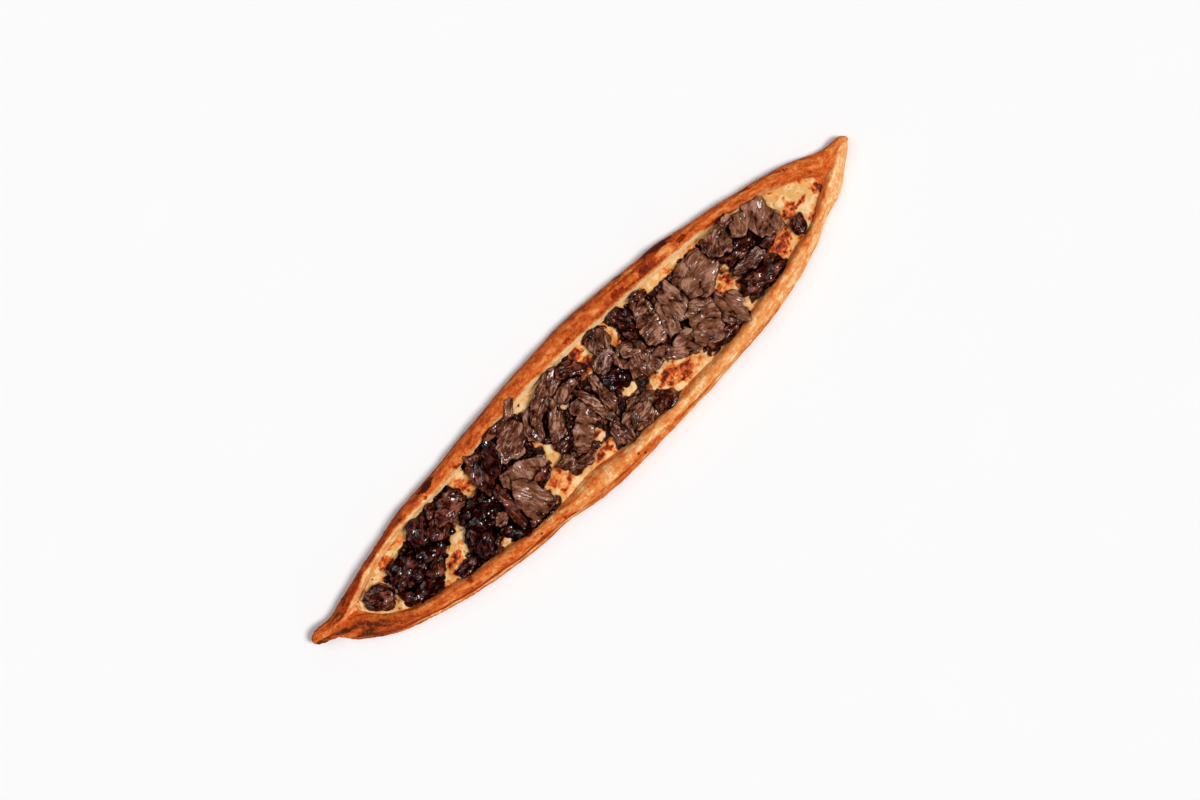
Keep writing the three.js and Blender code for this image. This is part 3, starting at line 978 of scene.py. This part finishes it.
    def _browning(self, skin: Skin, x: Values, across: Values, side: Values) -> Values:
        """Work out how far each point is baked.

        Args:
            skin: The crust's skin.
            x: The points' places along the boat, in millimetres.
            across: Shares of the way from the nearer rim's outer edge to its inner one.
            side: -1 on the lower rim and 1 on the upper one.

        Returns:
            A level from 0, pale, to 1, deep brown, for each point.
        """
        wander = 0.03 * Noise(19).layers(skin.points, 12 * MM, 2)
        lower, upper = (bake.at(x, across + wander) for bake in (LOWER_BAKE, UPPER_BAKE))
        lip = hump(self.lip_line, self.lip_width, across + wander) * within(self.lip_run, x)
        level = np.where(side < 0, blend(lower, self.lip_level, 0.9 * lip), upper)
        level += self.spot_level * strongest(self.brown_spots, skin.points, 10 * wander)
        pale = strongest(self.pale_spots, skin.points, 10 * wander)
        level = blend(level, self.pale_level, pale)
        under = smooth(1.5, 0.4, skin.points[:, 2] / MM)
        baked_under = 0.5 + 0.3 * Noise(16).layers(skin.points, 22 * MM, 3)
        return blend(level, baked_under, under)


# ---- cheese -------------------------------------------------------------------------------
@dataclass(frozen=True)
class CheeseFinish:
    """Melted cheese: cream and yellow, toasted orange and brown, dark under and beside the meat as
    juice stain and painted shade.
    """

    cream: str = "F6D09C"
    yellow: str = "E2AC64"
    toasts: tuple[tuple[float, str], ...] = (
        (0.0, "EEA45A"),
        (0.25, "E27C36"),
        (0.5, "C64E16"),
        (0.75, "862A0A"),
        (1.0, "3C0F04"),
    )
    rind: str = "94481A"
    juice_and_shade: str = "140402"
    shreds: str = "4E2417"
    patch_size: float = 6
    spot_size: float = 7
    grain_size: float = 1.6
    rough: float = 0.5
    oily_rough: float = 0.34
    blister_depth: float = 0.7

    def material(self, groups: SharedGroups) -> bpy.types.Material:
        """Build the material, which reads the marks of CheeseLayer.

        Args:
            groups: Shared shader groups.

        Returns:
            The cheese's material.
        """
        material, shader, skin = new_material("melted_cheese")
        patches = shader.specks(self.patch_size)
        fine = shader.specks(self.grain_size)
        base = shader.mix(shader.step(patches, 0.36, 0.58), srgb(self.cream), srgb(self.yellow))
        spots = shader.stretch(shader.place(), [self.spot_size] * 3)
        blots = shader.between(0.2, shader.noise(spots, 1.2, 2.0, 0.45), fine)
        toast = shader.maths("ADD", shader.mark("toast"), shader.swing(blots, 3.6))
        brown = shader.ramp(shader.step(toast, 0.3, 1.5), self.toasts)
        base = shader.mix(shader.step(toast, 0.26, 0.5), base, brown)
        # Stain mark: dark beside and under the meat, partly meat juice and partly painted shade in
        # the gaps between pieces.
        stain_and_shade = shader.group(groups.mottle, Vector=spots, Level=shader.mark("stain_and_shade"), Reach=0.5)
        meaty = shader.mix(shader.step(fine, 0.48, 0.66), srgb(self.juice_and_shade), srgb(self.shreds))
        base = shader.mix(shader.step(stain_and_shade, 0.15, 0.45), base, srgb(self.rind))
        base = shader.mix(shader.step(stain_and_shade, 0.4, 0.65), base, meaty)
        blisters = shader.between(0.5, toast, fine)
        shader.feed(skin, {
            "Base Color": base,
            "Roughness": shader.step(patches, 0.3, 0.7, self.rough, self.oily_rough),
            "Specular IOR Level": 0.1,
            "Subsurface Weight": 0.1,
            "Subsurface Radius": (1.0, 0.6, 0.25),
            "Subsurface Scale": 1.5 * MM,
            "Normal": shader.bump(blisters, 0.6, self.blister_depth),
        })
        return material


@dataclass
class CheeseLayer:
    """The layer of melted cheese in the trough."""

    finish: CheeseFinish = CheeseFinish()
    node: str = "cheese_layer"
    voxel: float = 1.1 * MM
    swell: float = 0.3 * MM
    lumps: float = 0.5 * MM
    lump_size: float = 7 * MM
    blister: float = 0.7 * MM
    blister_size: float = 3 * MM
    clods: float = 1.0 * MM
    clod_size: float = 4 * MM
    lightly_toasted: float = 0.12
    stain_and_shade_reach: float = 4 * MM
    bare_patches: tuple[Spot, ...] = (
        Spot(-222, 3, 44, 50, 10),
        Spot(-196, 20, 48, 18, 20),
        Spot(-170, 26, 30, 10, 8),
        Spot(-152, -13, 58, 17, 38),
        Spot(-168, -24, 14, 8, 0),
        Spot(-113, 19, 22, 24, 0),
        Spot(-118, -32, 10, 8, 0),
        Spot(-59, -25, 26, 30, 0),
        Spot(-48, -8, 13, 20, 24),
        Spot(-52, 6, 10, 7, -40),
        Spot(-14, -21, 12, 13, 0),
        Spot(-17, -33, 28, 12, 10),
        Spot(-40, -36, 60, 7, 0),
        Spot(-16, 13, 8, 8, 0),
        Spot(18, 30, 20, 28, 0),
        Spot(13, 21, 14, 12, 40),
        Spot(45, 28, 11, 30, 0),
        Spot(28, -12, 15, 10, 0),
        Spot(63, -27, 58, 30, 0),
        Spot(67, -13, 8, 16, 40),
        Spot(130, -5, 34, 26, 30),
        Spot(136, -24, 9, 24, 0),
        Spot(100, 35, 60, 10, 0),
        Spot(64, 38, 24, 6, 0),
        Spot(146, 34, 74, 8, -6),
        Spot(-32, 36, 40, 12, 10),
        Spot(-64, 38, 30, 6, 0),
        Spot(-92, 33, 12, 10, 20),
        Spot(186, -12, 34, 26, 0),
        Spot(222, 6, 86, 72, 0),
    )
    toast_spots: tuple[Spot, ...] = (
        Spot(-195, 19, 15, 10, 30, 1.0),
        Spot(-204, 12, 6, 4, 0, 0.7),
        Spot(-178, 24, 26, 8, 15, 0.35),
        Spot(-160, -18, 24, 8, 38, 0.9),
        Spot(-146, -11, 14, 4, 38, 0.5),
        Spot(-113, 20, 16, 14, 0, 0.65),
        Spot(-120, -31, 7, 5, 0, 0.5),
        Spot(-57, -25, 18, 26, 10, 0.55),
        Spot(-48, -8, 5, 12, 0, 0.2),
        Spot(-15, -32, 24, 8, 10, 1.0),
        Spot(-13, -19, 7, 7, 0, 0.9),
        Spot(15, 24, 16, 12, 0, 1.15),
        Spot(15, 34, 14, 9, 0, 1.2),
        Spot(46, 26, 5, 18, 0, 0.4),
        Spot(62, -28, 44, 19, 0, 0.7),
        Spot(57, -29, 9, 6, 0, 1.25),
        Spot(72, -9, 7, 9, 0, 0.6),
        Spot(134, -4, 20, 14, 0, 0.8),
        Spot(122, -12, 12, 14, 0, 0.6),
        Spot(104, 32.5, 12, 6, 0, 0.5),
        Spot(184, -8, 26, 18, 30, 1.2),
        Spot(206, 3, 16, 10, 20, 1.1),
        Spot(218, 3, 11, 4, 5, 0.8),
        Spot(222, 20, 7, 5, 0, 0.95),
        Spot(207, 25, 14, 5, -10, 0.75),
        Spot(216, -10, 8, 4, 20, 0.75),
        Spot(200, -16, 16, 5, 30, 0.6),
        Spot(230, 14, 8, 6, 0, 0.5),
        Spot(233, 2, 8, 12, 40, 0.9),
    )

    def model(self) -> Skin:
        """Model the layer, without the meat's stains and painted shade.

        Returns:
            The layer's skin.
        """
        skin = Skin(fine_copy(self.node, "melted_cheese", self.voxel, 3, rounded=False))
        ragged = Noise(21).layers(skin.points, 3.2 * MM, 2)
        toast = strongest(self.toast_spots, skin.points, ragged)
        skin.mark("toast", self.lightly_toasted + toast)
        relief = self.swell + self.lumps * Noise(22).layers(skin.points, self.lump_size, 3)
        relief += self.blister * toast * (0.3 + Noise(23).at(skin.points, self.blister_size))
        skin.push(relief)
        return skin

    def bare(self, points: Points) -> Values:
        """Tell where the cheese shows between the meat, from 0 to 1."""
        return strongest(self.bare_patches, points, Noise(24).layers(points, 5 * MM, 3))

    def dress(self, skin: Skin, heap: HeightField, groups: SharedGroups) -> None:
        """Darken the layer under the meat and beside it, as juice stain and painted shade, and give
        it its material.

        Args:
            skin: The modelled layer.
            heap: Heights of the meat.
            groups: Shared shader groups.
        """
        meat = (heap.cells > CHEESE_LEVEL).astype(float)
        near = heap.sample(heap.blurred(meat, self.stain_and_shade_reach), skin.points)
        close = smooth(0.06, 0.2, near)
        covered = smooth(0.75, 1.0, heap.sample(heap.blurred(meat, heap.step), skin.points))
        # Juice stain and painted shade: dark beside the meat outside the bare patches, and under
        # it.
        stain_and_shade = np.maximum((1 - self.bare(skin.points)) * close, covered)
        skin.mark("stain_and_shade", stain_and_shade)
        clods = smooth(0.3, 0.8, stain_and_shade) * Noise(25).lumps(skin.points, self.clod_size)
        skin.push(self.clods * clods)
        skin.piece.data.materials.append(self.finish.material(groups))


# ---- meat ---------------------------------------------------------------------------------
class Cut(Enum):
    """How a piece of meat was cut, as its node's name says."""

    CHUNK = "chunk"
    SLICE = "slice"
    STRIP = "strip"

    @property
    def slot(self) -> str:
        """Name the material slot of such pieces."""
        slots = {"chunk": "meat_glazed", "slice": "meat_sliced", "strip": "meat_stripped"}
        return slots[self.value]


@dataclass(frozen=True)
class MeatFinish:
    """Roast meat: painted shade in its creases, paler fibres and painted glint specks, more or less
    glazed.
    """

    name: str
    dark: str
    middle: str
    light: str
    rough: float
    glaze: float
    lines: float
    glint_specks: float
    grit: float
    fibre_length: float = 9 * MM
    fibre_width: float = 1.4 * MM
    patch_size: tuple[float, float, float] = (11, 4.5, 6)
    glint_speck_size: float = 1.9
    wet_size: float = 5
    grit_size: float = 1.7
    relief_depth: float = 1.1

    def material(self, groups: SharedGroups) -> bpy.types.Material:
        """Build the material, which reads the marks of mark_meat and the painted crevice shade.

        Args:
            groups: Shared shader groups.

        Returns:
            The meat's material.
        """
        material, shader, skin = new_material(self.name)
        grain, painted_crevice_shade = shader.mark_vector("grain"), shader.mark("painted_crevice_shade")
        fibres = shader.group(
            groups.fibre, Vector=grain, Length=self.fibre_length, Width=self.fibre_width
        )
        wet = shader.step(shader.specks(self.wet_size, 4.0), 0.49, 0.59)
        open_top = shader.maths("SUBTRACT", 1.0, painted_crevice_shade)
        gloss = shader.maths("MULTIPLY", shader.maths("MULTIPLY", wet, open_top), self.glaze)
        height = shader.between(self.grit, fibres, shader.specks(self.grit_size))
        base = self._colour(shader, groups, grain, fibres)
        shader.feed(skin, {
            # Painted shade: the dark colour laid into gaps between pieces and on steep sides.
            "Base Color": shader.mix(painted_crevice_shade, base, srgb(self.dark)),
            "Roughness": shader.between(wet, self.rough + 0.2, self.rough),
            "Specular IOR Level": 0.0,
            "Coat Weight": gloss,
            "Coat Roughness": 0.13,
            "Coat IOR": 1.7,
            "Normal": shader.bump(height, 1.0, self.relief_depth),
        })
        return material

    def _colour(
        self, shader: Shader, groups: SharedGroups, grain: Socket, fibres: Socket
    ) -> Socket:
        """Grade the meat dark to light by painted relief shade, fibres and patches, and speckle it
        with painted glints.

        Args:
            shader: The material's shader.
            groups: Shared shader groups.
            grain: Coordinates along and across the fibres.
            fibres: The fibres' height.

        Returns:
            The meat's colour, without its painted crevice shade.
        """
        dark, middle, light = (srgb(code) for code in (self.dark, self.middle, self.light))
        # The tone mark holds painted shade in the hollows and painted light on raised parts.
        level = shader.maths("ADD", shader.mark("tone"), shader.swing(fibres, self.lines))
        patches = shader.stretch(grain, self.patch_size)
        level = shader.group(groups.mottle, Vector=patches, Level=level, Reach=1.45)
        tint = shader.group(groups.tint, Level=level, Dark=dark, Middle=middle, Light=light)
        # Painted glints: pale specks of the light colour laid into the base colour.
        specks = shader.step(shader.specks(self.glint_speck_size), 0.56, 0.68)
        return shader.mix(shader.maths("MULTIPLY", specks, self.glint_specks), tint, light)


class MeatLook(Enum):
    """The finishes that the pieces of meat have."""

    CHARRED = MeatFinish("charred_meat", "080000", "260503", "70342C",
                         rough=0.36, glaze=1.0, lines=0.25, glint_specks=0.2, grit=0.4)
    GLAZED = MeatFinish("glazed_meat", "140200", "44160A", "98543F",
                        rough=0.38, glaze=1.0, lines=0.3, glint_specks=0.25, grit=0.4)
    ROAST = MeatFinish("roast_meat", "200500", "6A3722", "C08A70",
                       rough=0.48, glaze=0.7, lines=0.45, glint_specks=0.3, grit=0.3)
    BROWN = MeatFinish("brown_meat", "2A0A03", "834E35", "C08C74",
                       rough=0.52, glaze=0.5, lines=0.25, glint_specks=0.2, grit=0.3)
    # Shiny pieces: besides a real low roughness and full coat, their pale light colour and dense
    # pale specks are painted highlights.
    SHINY = MeatFinish("shiny_meat", "200603", "66382A", "D0A292",
                       rough=0.3, glaze=1.0, lines=0.6, glint_specks=0.4, grit=0.3)
    PALE = MeatFinish("pale_meat", "38160C", "7C4833", "C08A72",
                      rough=0.5, glaze=0.4, lines=0.4, glint_specks=0.3, grit=0.3)


LOOKS = {
    MeatLook.CHARRED: (2, 4, 5, 6, 7, 10, 12, 14, 17, 36),
    MeatLook.GLAZED: (1, 3, 8, 9, 11, 15, 16, 18, 22, 25, 31, 39, 43, 44, 48, 53, 54, 58),
    MeatLook.BROWN: (21, 23, 30, 46, 47, 49, 50, 51, 52, 57),
    MeatLook.SHINY: (37, 56),
    MeatLook.PALE: (13, 19),
}
TONE_SHIFTS = {
    0.1: (31, 47),
    0.08: (1, 7, 11, 34),
    0.06: (20, 49),
    0.05: (42, 53),
    -0.1: (24, 36, 38),
    -0.12: (14, 25, 43),
    -0.14: (12,),
    -0.15: (54,),
}
# Painted crevice shade fades in over these depths below the surroundings and these normal heights.
GAP_DEPTHS: Fade = (0.3 * MM, 2.0 * MM)
STEEP_SIDES: Fade = (0.6, 0.2)


def choice_for(number: int, choices: dict, otherwise: object) -> object:
    """Find the choice that lists a piece's number in the heap, or return the other one."""
    return next((choice for choice, numbers in choices.items() if number in numbers), otherwise)


def mark_meat(skin: Skin, grain: Points, relief: Values, shift: float = 0.0) -> None:
    """Store what the meat's materials read.

    Args:
        skin: The modelled meat.
        grain: Coordinates along and across its fibres.
        relief: How far each point stands proud, in metres.
        shift: How much paler the whole piece is than its finish.
    """
    skin.mark_vector("grain", grain)
    low, high = np.percentile(relief, (4, 96))
    # Painted shade and highlight: hollows of the relief are darker and raised parts paler; shift is
    # the piece's own roast.
    skin.mark("tone", 0.2 + 0.6 * (relief - low) / (high - low) + shift)


def paint_crevice_shade(skin: Skin, ground: HeightField, around: Points) -> None:
    """Paint dark shade into the gaps between the pieces and onto their steep sides.

    Args:
        skin: The meat to mark.
        ground: Heights of everything that lies in the trough.
        around: The same heights, blurred.
    """
    # Painted shade, darker the deeper a point lies below its blurred surroundings and the steeper
    # its side.
    depth = ground.sample(around, skin.points) - skin.points[:, 2]
    steep = 0.9 * smooth(*STEEP_SIDES, skin.normals[:, 2])
    skin.mark("painted_crevice_shade", np.maximum(smooth(*GAP_DEPTHS, depth), steep))


@dataclass(frozen=True)
class Relief:
    """Depths and sizes of a cut's relief, in millimetres."""

    torn: float
    heave: float
    lumps: float
    lump_size: float
    fibres: float
    fibre_size: tuple[float, float, float]
    cracks: float
    crack_size: tuple[float, float, float]
    torn_size: float = 5.5
    heave_size: float = 9
    bend: float = 1.5
    bend_size: float = 5
    crack_width: Fade = (0.09, 0.0)
    top_faces: Fade = (0.25, 0.8)


RELIEFS = {
    Cut.CHUNK: Relief(torn=1.6, heave=1.0, lumps=0.5, lump_size=7.5, fibres=0.35,
                      fibre_size=(8, 2.2, 4), cracks=1.1, crack_size=(14, 7, 8)),
    Cut.SLICE: Relief(torn=1.6, heave=1.0, lumps=0.0, lump_size=3.6, fibres=0.15,
                      fibre_size=(20, 2.7, 5), cracks=0.9, crack_size=(24, 10, 9)),
    Cut.STRIP: Relief(torn=1.2, heave=0.7, lumps=0.1, lump_size=3.6, fibres=0.36,
                      fibre_size=(22, 2.9, 4), cracks=1.0, crack_size=(24, 6, 8)),
}


@dataclass
class MeatPiece:
    """One piece of roast meat, with relief along its grain."""

    node: str
    voxel: float = 0.62 * MM
    swell: float = 0.35 * MM
    lean: float = 0.9
    bend: float = 2.0 * MM
    bend_size: float = 13 * MM
    apart: float = 50 * MM

    @property
    def number(self) -> int:
        """Return the piece's place in the heap."""
        return int(self.node.rsplit("_", 1)[1])

    @property
    def cut(self) -> Cut:
        """Return how the piece was cut."""
        return Cut(self.node.split("_")[1])

    def build(self, materials: dict[MeatLook, bpy.types.Material]) -> Skin:
        """Model and dress the piece.

        Args:
            materials: The material of each finish.

        Returns:
            The piece's skin.
        """
        name = self.node.replace("meat", "roast")
        skin = Skin(fine_copy(self.node, name, self.voxel, 2, rounded=False))
        grain = self._grain(skin.points)
        relief = self._relief(skin, grain)
        skin.push(relief)
        mark_meat(skin, grain, relief, choice_for(self.number, TONE_SHIFTS, 0.0))
        look = choice_for(self.number, LOOKS, MeatLook.ROAST)
        skin.piece.data.materials.append(materials[look])
        return skin

    def _grain(self, points: Points) -> Points:
        """Lay coordinates along the piece's grain, bent a little as muscle is.

        Args:
            points: Places on the piece.

        Returns:
            Coordinates along, across and up, one row for each point.
        """
        flat = points[:, :2] - points[:, :2].mean(axis=0)
        longest = np.linalg.eigh(flat.T @ flat)[1][:, -1]
        turn = self.lean * Noise(31).at(np.array([[self.number * 7.3 * MM, 0, 0]]), 5 * MM)[0]
        if self.cut is Cut.SLICE and self.number % 3 == 0:
            turn += math.pi / 2
        along = np.array([
            longest[0] * math.cos(turn) - longest[1] * math.sin(turn),
            longest[0] * math.sin(turn) + longest[1] * math.cos(turn),
        ])
        bend = self.bend * Noise(32 + self.number).at(points, self.bend_size)
        u = flat @ along
        v = flat @ np.array([-along[1], along[0]]) + bend
        return np.column_stack([u, v, points[:, 2] + bend + self.number * self.apart])

    def _relief(self, skin: Skin, grain: Points) -> Values:
        """Work out how far each point stands proud of the plain solid.

        Args:
            skin: The plain piece's skin.
            grain: Coordinates along and across its grain.

        Returns:
            The distance along each point's normal, in metres.
        """
        points, seed, cut = skin.points / MM, 100 + 10 * self.number, RELIEFS[self.cut]
        flat = smooth(*cut.top_faces, np.abs(skin.normals[:, 2]))
        bent = points + cut.bend * Noise(seed).at(points, cut.bend_size)[:, None]
        top = cut.heave * Noise(seed + 1).at(points, cut.heave_size)
        top += cut.lumps * Noise(seed + 2).lumps(bent, cut.lump_size)
        top += cut.fibres * Noise(seed + 3).lumps(grain / MM, cut.fibre_size)
        seam = np.abs(Noise(seed + 4).at(grain / MM, cut.crack_size))
        top -= cut.cracks * smooth(*cut.crack_width, seam)
        torn = cut.torn * Noise(seed + 5).layers(points, cut.torn_size, 2)
        return self.swell + MM * blend(torn + 0.5 * top, top, flat)


# ---- scraps and crumbs --------------------------------------------------------------------
@dataclass
class Hollows:
    """Where small bits of meat have come to lie: low places in the heap, off the bare cheese."""

    heap: HeightField
    ground: HeightField
    bare: Points
    reach: float = 3 * MM
    share: float = 0.4
    lowest: float = CHEESE_LEVEL - 2 * MM
    highest: float = CHEESE_LEVEL + 2.5 * MM

    def cells(self, along: tuple[float, float], depth: float) -> Points:
        """List the grid cells where bits may lie.

        Args:
            along: Where the bits begin and end along the boat, in millimetres.
            depth: How far such a place lies below the mean of its surroundings.

        Returns:
            Row and column of each cell.
        """
        near = self.heap.blurred((self.heap.cells > CHEESE_LEVEL).astype(float), self.reach)
        level = self.heap.blurred(np.maximum(self.heap.cells, CHEESE_LEVEL), self.reach)
        low = (near > self.share) & (self.bare < self.share)
        low &= self.ground.cells < level - depth
        low &= (self.ground.cells > self.lowest) & (self.heap.cells < self.highest)
        rows = np.argwhere(low)
        x = (self.ground.low[0] + rows[:, 0] * self.ground.step) / MM
        return rows[(x > along[0]) & (x < along[1])]


@dataclass(frozen=True)
class Bits:
    """Many small torn bits of meat, as one mesh."""

    name: str
    look: MeatLook
    cut: Cut
    count: int
    along: tuple[float, float]
    smallest: float
    largest: float
    longest: float
    fineness: int
    seed: int
    depth: float = 0.4 * MM
    kinds: int = 8
    flatness: float = 0.62
    rise: float = 0.2
    crags: tuple[float, float] = (0.68, 1.18)
    lump_size: float = 2.5 * MM

    def build(self, hollows: Hollows, materials: dict[MeatLook, bpy.types.Material]) -> Skin:
        """Scatter the bits.

        Args:
            hollows: Where they may lie; its ground rises by them.
            materials: The material of each finish.

        Returns:
            The skin of all the bits.
        """
        draw = np.random.default_rng(self.seed)
        shapes = [self._shape(draw) for _ in range(self.kinds)]
        cells = hollows.cells(self.along, self.depth)
        chosen = cells[draw.choice(len(cells), min(self.count, len(cells)), replace=False)]
        points, grain, faces, start = [], [], [], 0
        for row in chosen:
            shape, triangles = shapes[draw.integers(len(shapes))]
            size = draw.uniform(self.smallest, self.largest) / 2
            length = draw.uniform(1.0, self.longest)
            turn = draw.uniform(0, math.pi)
            local = shape * np.array([size * length, size, self.flatness * size])
            across = local[:, :2] @ np.array([[math.cos(turn), math.sin(turn)],
                                              [-math.sin(turn), math.cos(turn)]])
            centre = hollows.ground.low + row * hollows.ground.step
            base = hollows.ground.cells[tuple(row)] + self.rise * size
            points.append(np.column_stack([across + centre, local[:, 2] + base]))
            grain.append(local + draw.uniform(-1, 1, 3))
            faces.append(triangles + start)
            start += len(shape)
        mesh = bpy.data.meshes.new(self.name)
        mesh.from_pydata(np.concatenate(points).tolist(), [], np.concatenate(faces).tolist())
        mesh.shade_smooth()
        mesh.materials.append(materials[self.look])
        bits = link(self.name, mesh)
        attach(bits, ROOT)
        skin = Skin(bits)
        lumps = Noise(self.seed).lumps(skin.points, self.lump_size)
        mark_meat(skin, np.concatenate(grain), lumps)
        hollows.ground.add(skin.points)
        return skin

    def _shape(self, draw: np.random.Generator) -> tuple[Points, np.ndarray]:
        """Make one craggy bit of about unit radius.

        Args:
            draw: The source of random numbers.

        Returns:
            Its points and its triangles.
        """
        shape = bmesh.new()
        bmesh.ops.create_icosphere(shape, subdivisions=self.fineness, radius=1.0)
        for vertex in shape.verts:
            vertex.co *= draw.uniform(*self.crags)
        points = np.array([vertex.co for vertex in shape.verts])
        triangles = np.array([[v.index for v in face.verts] for face in shape.faces])
        shape.free()
        return points, triangles


BITS = (
    Bits("dark_scraps", MeatLook.CHARRED, Cut.CHUNK, count=70, along=(-205, -60), depth=0.9 * MM,
         smallest=3 * MM, largest=6.5 * MM, longest=1.8, fineness=2, seed=41),
    Bits("glazed_scraps", MeatLook.GLAZED, Cut.CHUNK, count=80, along=(-90, 200), depth=1.0 * MM,
         smallest=3 * MM, largest=6 * MM, longest=2.2, fineness=2, seed=42),
    Bits("brown_scraps", MeatLook.ROAST, Cut.SLICE, count=50, along=(-80, 145), depth=0.9 * MM,
         smallest=2.6 * MM, largest=5 * MM, longest=2.6, fineness=2, seed=43),
    Bits("brown_crumbs", MeatLook.ROAST, Cut.SLICE, count=120, along=(-210, 210), depth=0.4 * MM,
         smallest=0.8 * MM, largest=2 * MM, longest=1.8, fineness=1, seed=44),
)


# ---- studio -------------------------------------------------------------------------------
@dataclass
class Studio:
    """Pale floor, soft light from the right and a camera that looks straight down."""

    floor_colour: str = "F8F8F8"
    floor_size: float = 20.0
    frame_width: float = 0.9
    lens: float = 70.0
    sensor: float = 36.0
    look_at: tuple[float, float, float] = (5.3 * MM, -2.8 * MM, 12 * MM)
    roll: float = -43.24
    surround: float = 0.2
    shade: float = 0.985

    def build(self) -> None:
        """Set up everything that isn't the part itself."""
        self._floor()
        self._world()
        self._camera()
        self._light("key", bearing=8, height=60, spread=22, strength=2.35)
        self._light("fill", bearing=196, height=56, spread=50, strength=0.72)
        settings = bpy.context.scene.view_settings
        settings.view_transform = "Standard"
        settings.look = "None"

    def _floor(self) -> None:
        """Lay the floor just under the part."""
        shape = bmesh.new()
        bmesh.ops.create_grid(shape, x_segments=1, y_segments=1, size=self.floor_size / 2)
        mesh = bpy.data.meshes.new("floor")
        shape.to_mesh(mesh)
        shape.free()
        material, shader, skin = new_material("pale_floor")
        tone = shader.specks(90, 2.0)
        bright = srgb(self.floor_colour)
        shaded = (*(self.shade * part for part in bright[:3]), 1.0)
        shader.feed(skin, {
            "Base Color": shader.mix(tone, shaded, bright),
            "Roughness": shader.step(tone, 0.3, 0.7, 0.8, 0.9),
            "Specular IOR Level": 0.1,
        })
        mesh.materials.append(material)
        link("floor", mesh)

    def _world(self) -> None:
        """Surround the scene with even white light."""
        world = bpy.data.worlds.new("studio")
        world.use_nodes = True
        background = world.node_tree.nodes["Background"]
        white = {"Color": (1, 1, 1, 1), "Strength": self.surround}
        Shader(world.node_tree).feed(background, white)
        bpy.context.scene.world = world

    def _camera(self) -> None:
        """Hang the camera over the part, turned so that the boat lies slanting."""
        data = bpy.data.cameras.new("camera")
        data.lens = self.lens
        data.sensor_width = self.sensor
        camera = link("camera", data)
        distance = self.frame_width * self.lens / self.sensor
        camera.location = Vector(self.look_at) + Vector((0, 0, distance))
        camera.rotation_euler = (0, 0, math.radians(self.roll))
        bpy.context.scene.camera = camera

    def _light(
        self, name: str, bearing: float, height: float, spread: float, strength: float
    ) -> None:
        """Shine a wide light from far off, so that the whole floor is as bright.

        Args:
            name: The light's name.
            bearing: Degrees from the view's right-hand side towards its bottom.
            height: Degrees above the floor.
            spread: Apparent width in degrees, which softens the shadows.
            strength: Watts on each square metre that faces the light.
        """
        data = bpy.data.lights.new(name, "SUN")
        data.angle = math.radians(spread)
        data.energy = strength
        lamp = link(name, data)
        turn, rise = math.radians(self.roll - bearing), math.radians(height)
        flat = math.cos(rise)
        way = Vector((math.cos(turn) * flat, math.sin(turn) * flat, math.sin(rise)))
        lamp.location = way
        lamp.rotation_euler = way.to_track_quat("Z", "Y").to_euler()


# ---- assembly -----------------------------------------------------------------------------
def report(skin: Skin) -> None:
    """Write a piece's name and size to the log."""
    log.info("%s: %d faces", skin.piece.name, len(skin.piece.data.polygons))


def main() -> None:
    """Build every piece in order and report it."""
    Studio().build()
    groups = SharedGroups()
    cheese_layer = CheeseLayer()
    cheese = cheese_layer.model()
    crust = DoughCrust().build(cheese.points, groups)
    report(crust)
    heap = HeightField()
    materials = {look: look.value.material(groups) for look in MeatLook}
    nodes = sorted(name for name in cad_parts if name.startswith("meat_"))
    meat = [MeatPiece(node).build(materials) for node in nodes]
    for piece in meat:
        heap.add(piece.points)
    cheese_layer.dress(cheese, heap, groups)
    report(cheese)
    ground = HeightField()
    for points in (heap.centres(), cheese.points, crust.points):
        ground.add(points)
    ground.cells = np.maximum(ground.cells, heap.cells)
    bare = cheese_layer.bare(ground.centres()).reshape(ground.cells.shape)
    hollows = Hollows(heap, ground, bare)
    meat += [bits.build(hollows, materials) for bits in BITS]
    around = ground.blurred(ground.cells, 2 * MM)
    # Paint shade into the gaps between the pieces and on their steep sides.
    for piece in meat:
        paint_crevice_shade(piece, ground, around)
        report(piece)


if __name__ == "__main__":
    logging.basicConfig(level=logging.INFO)
    main()
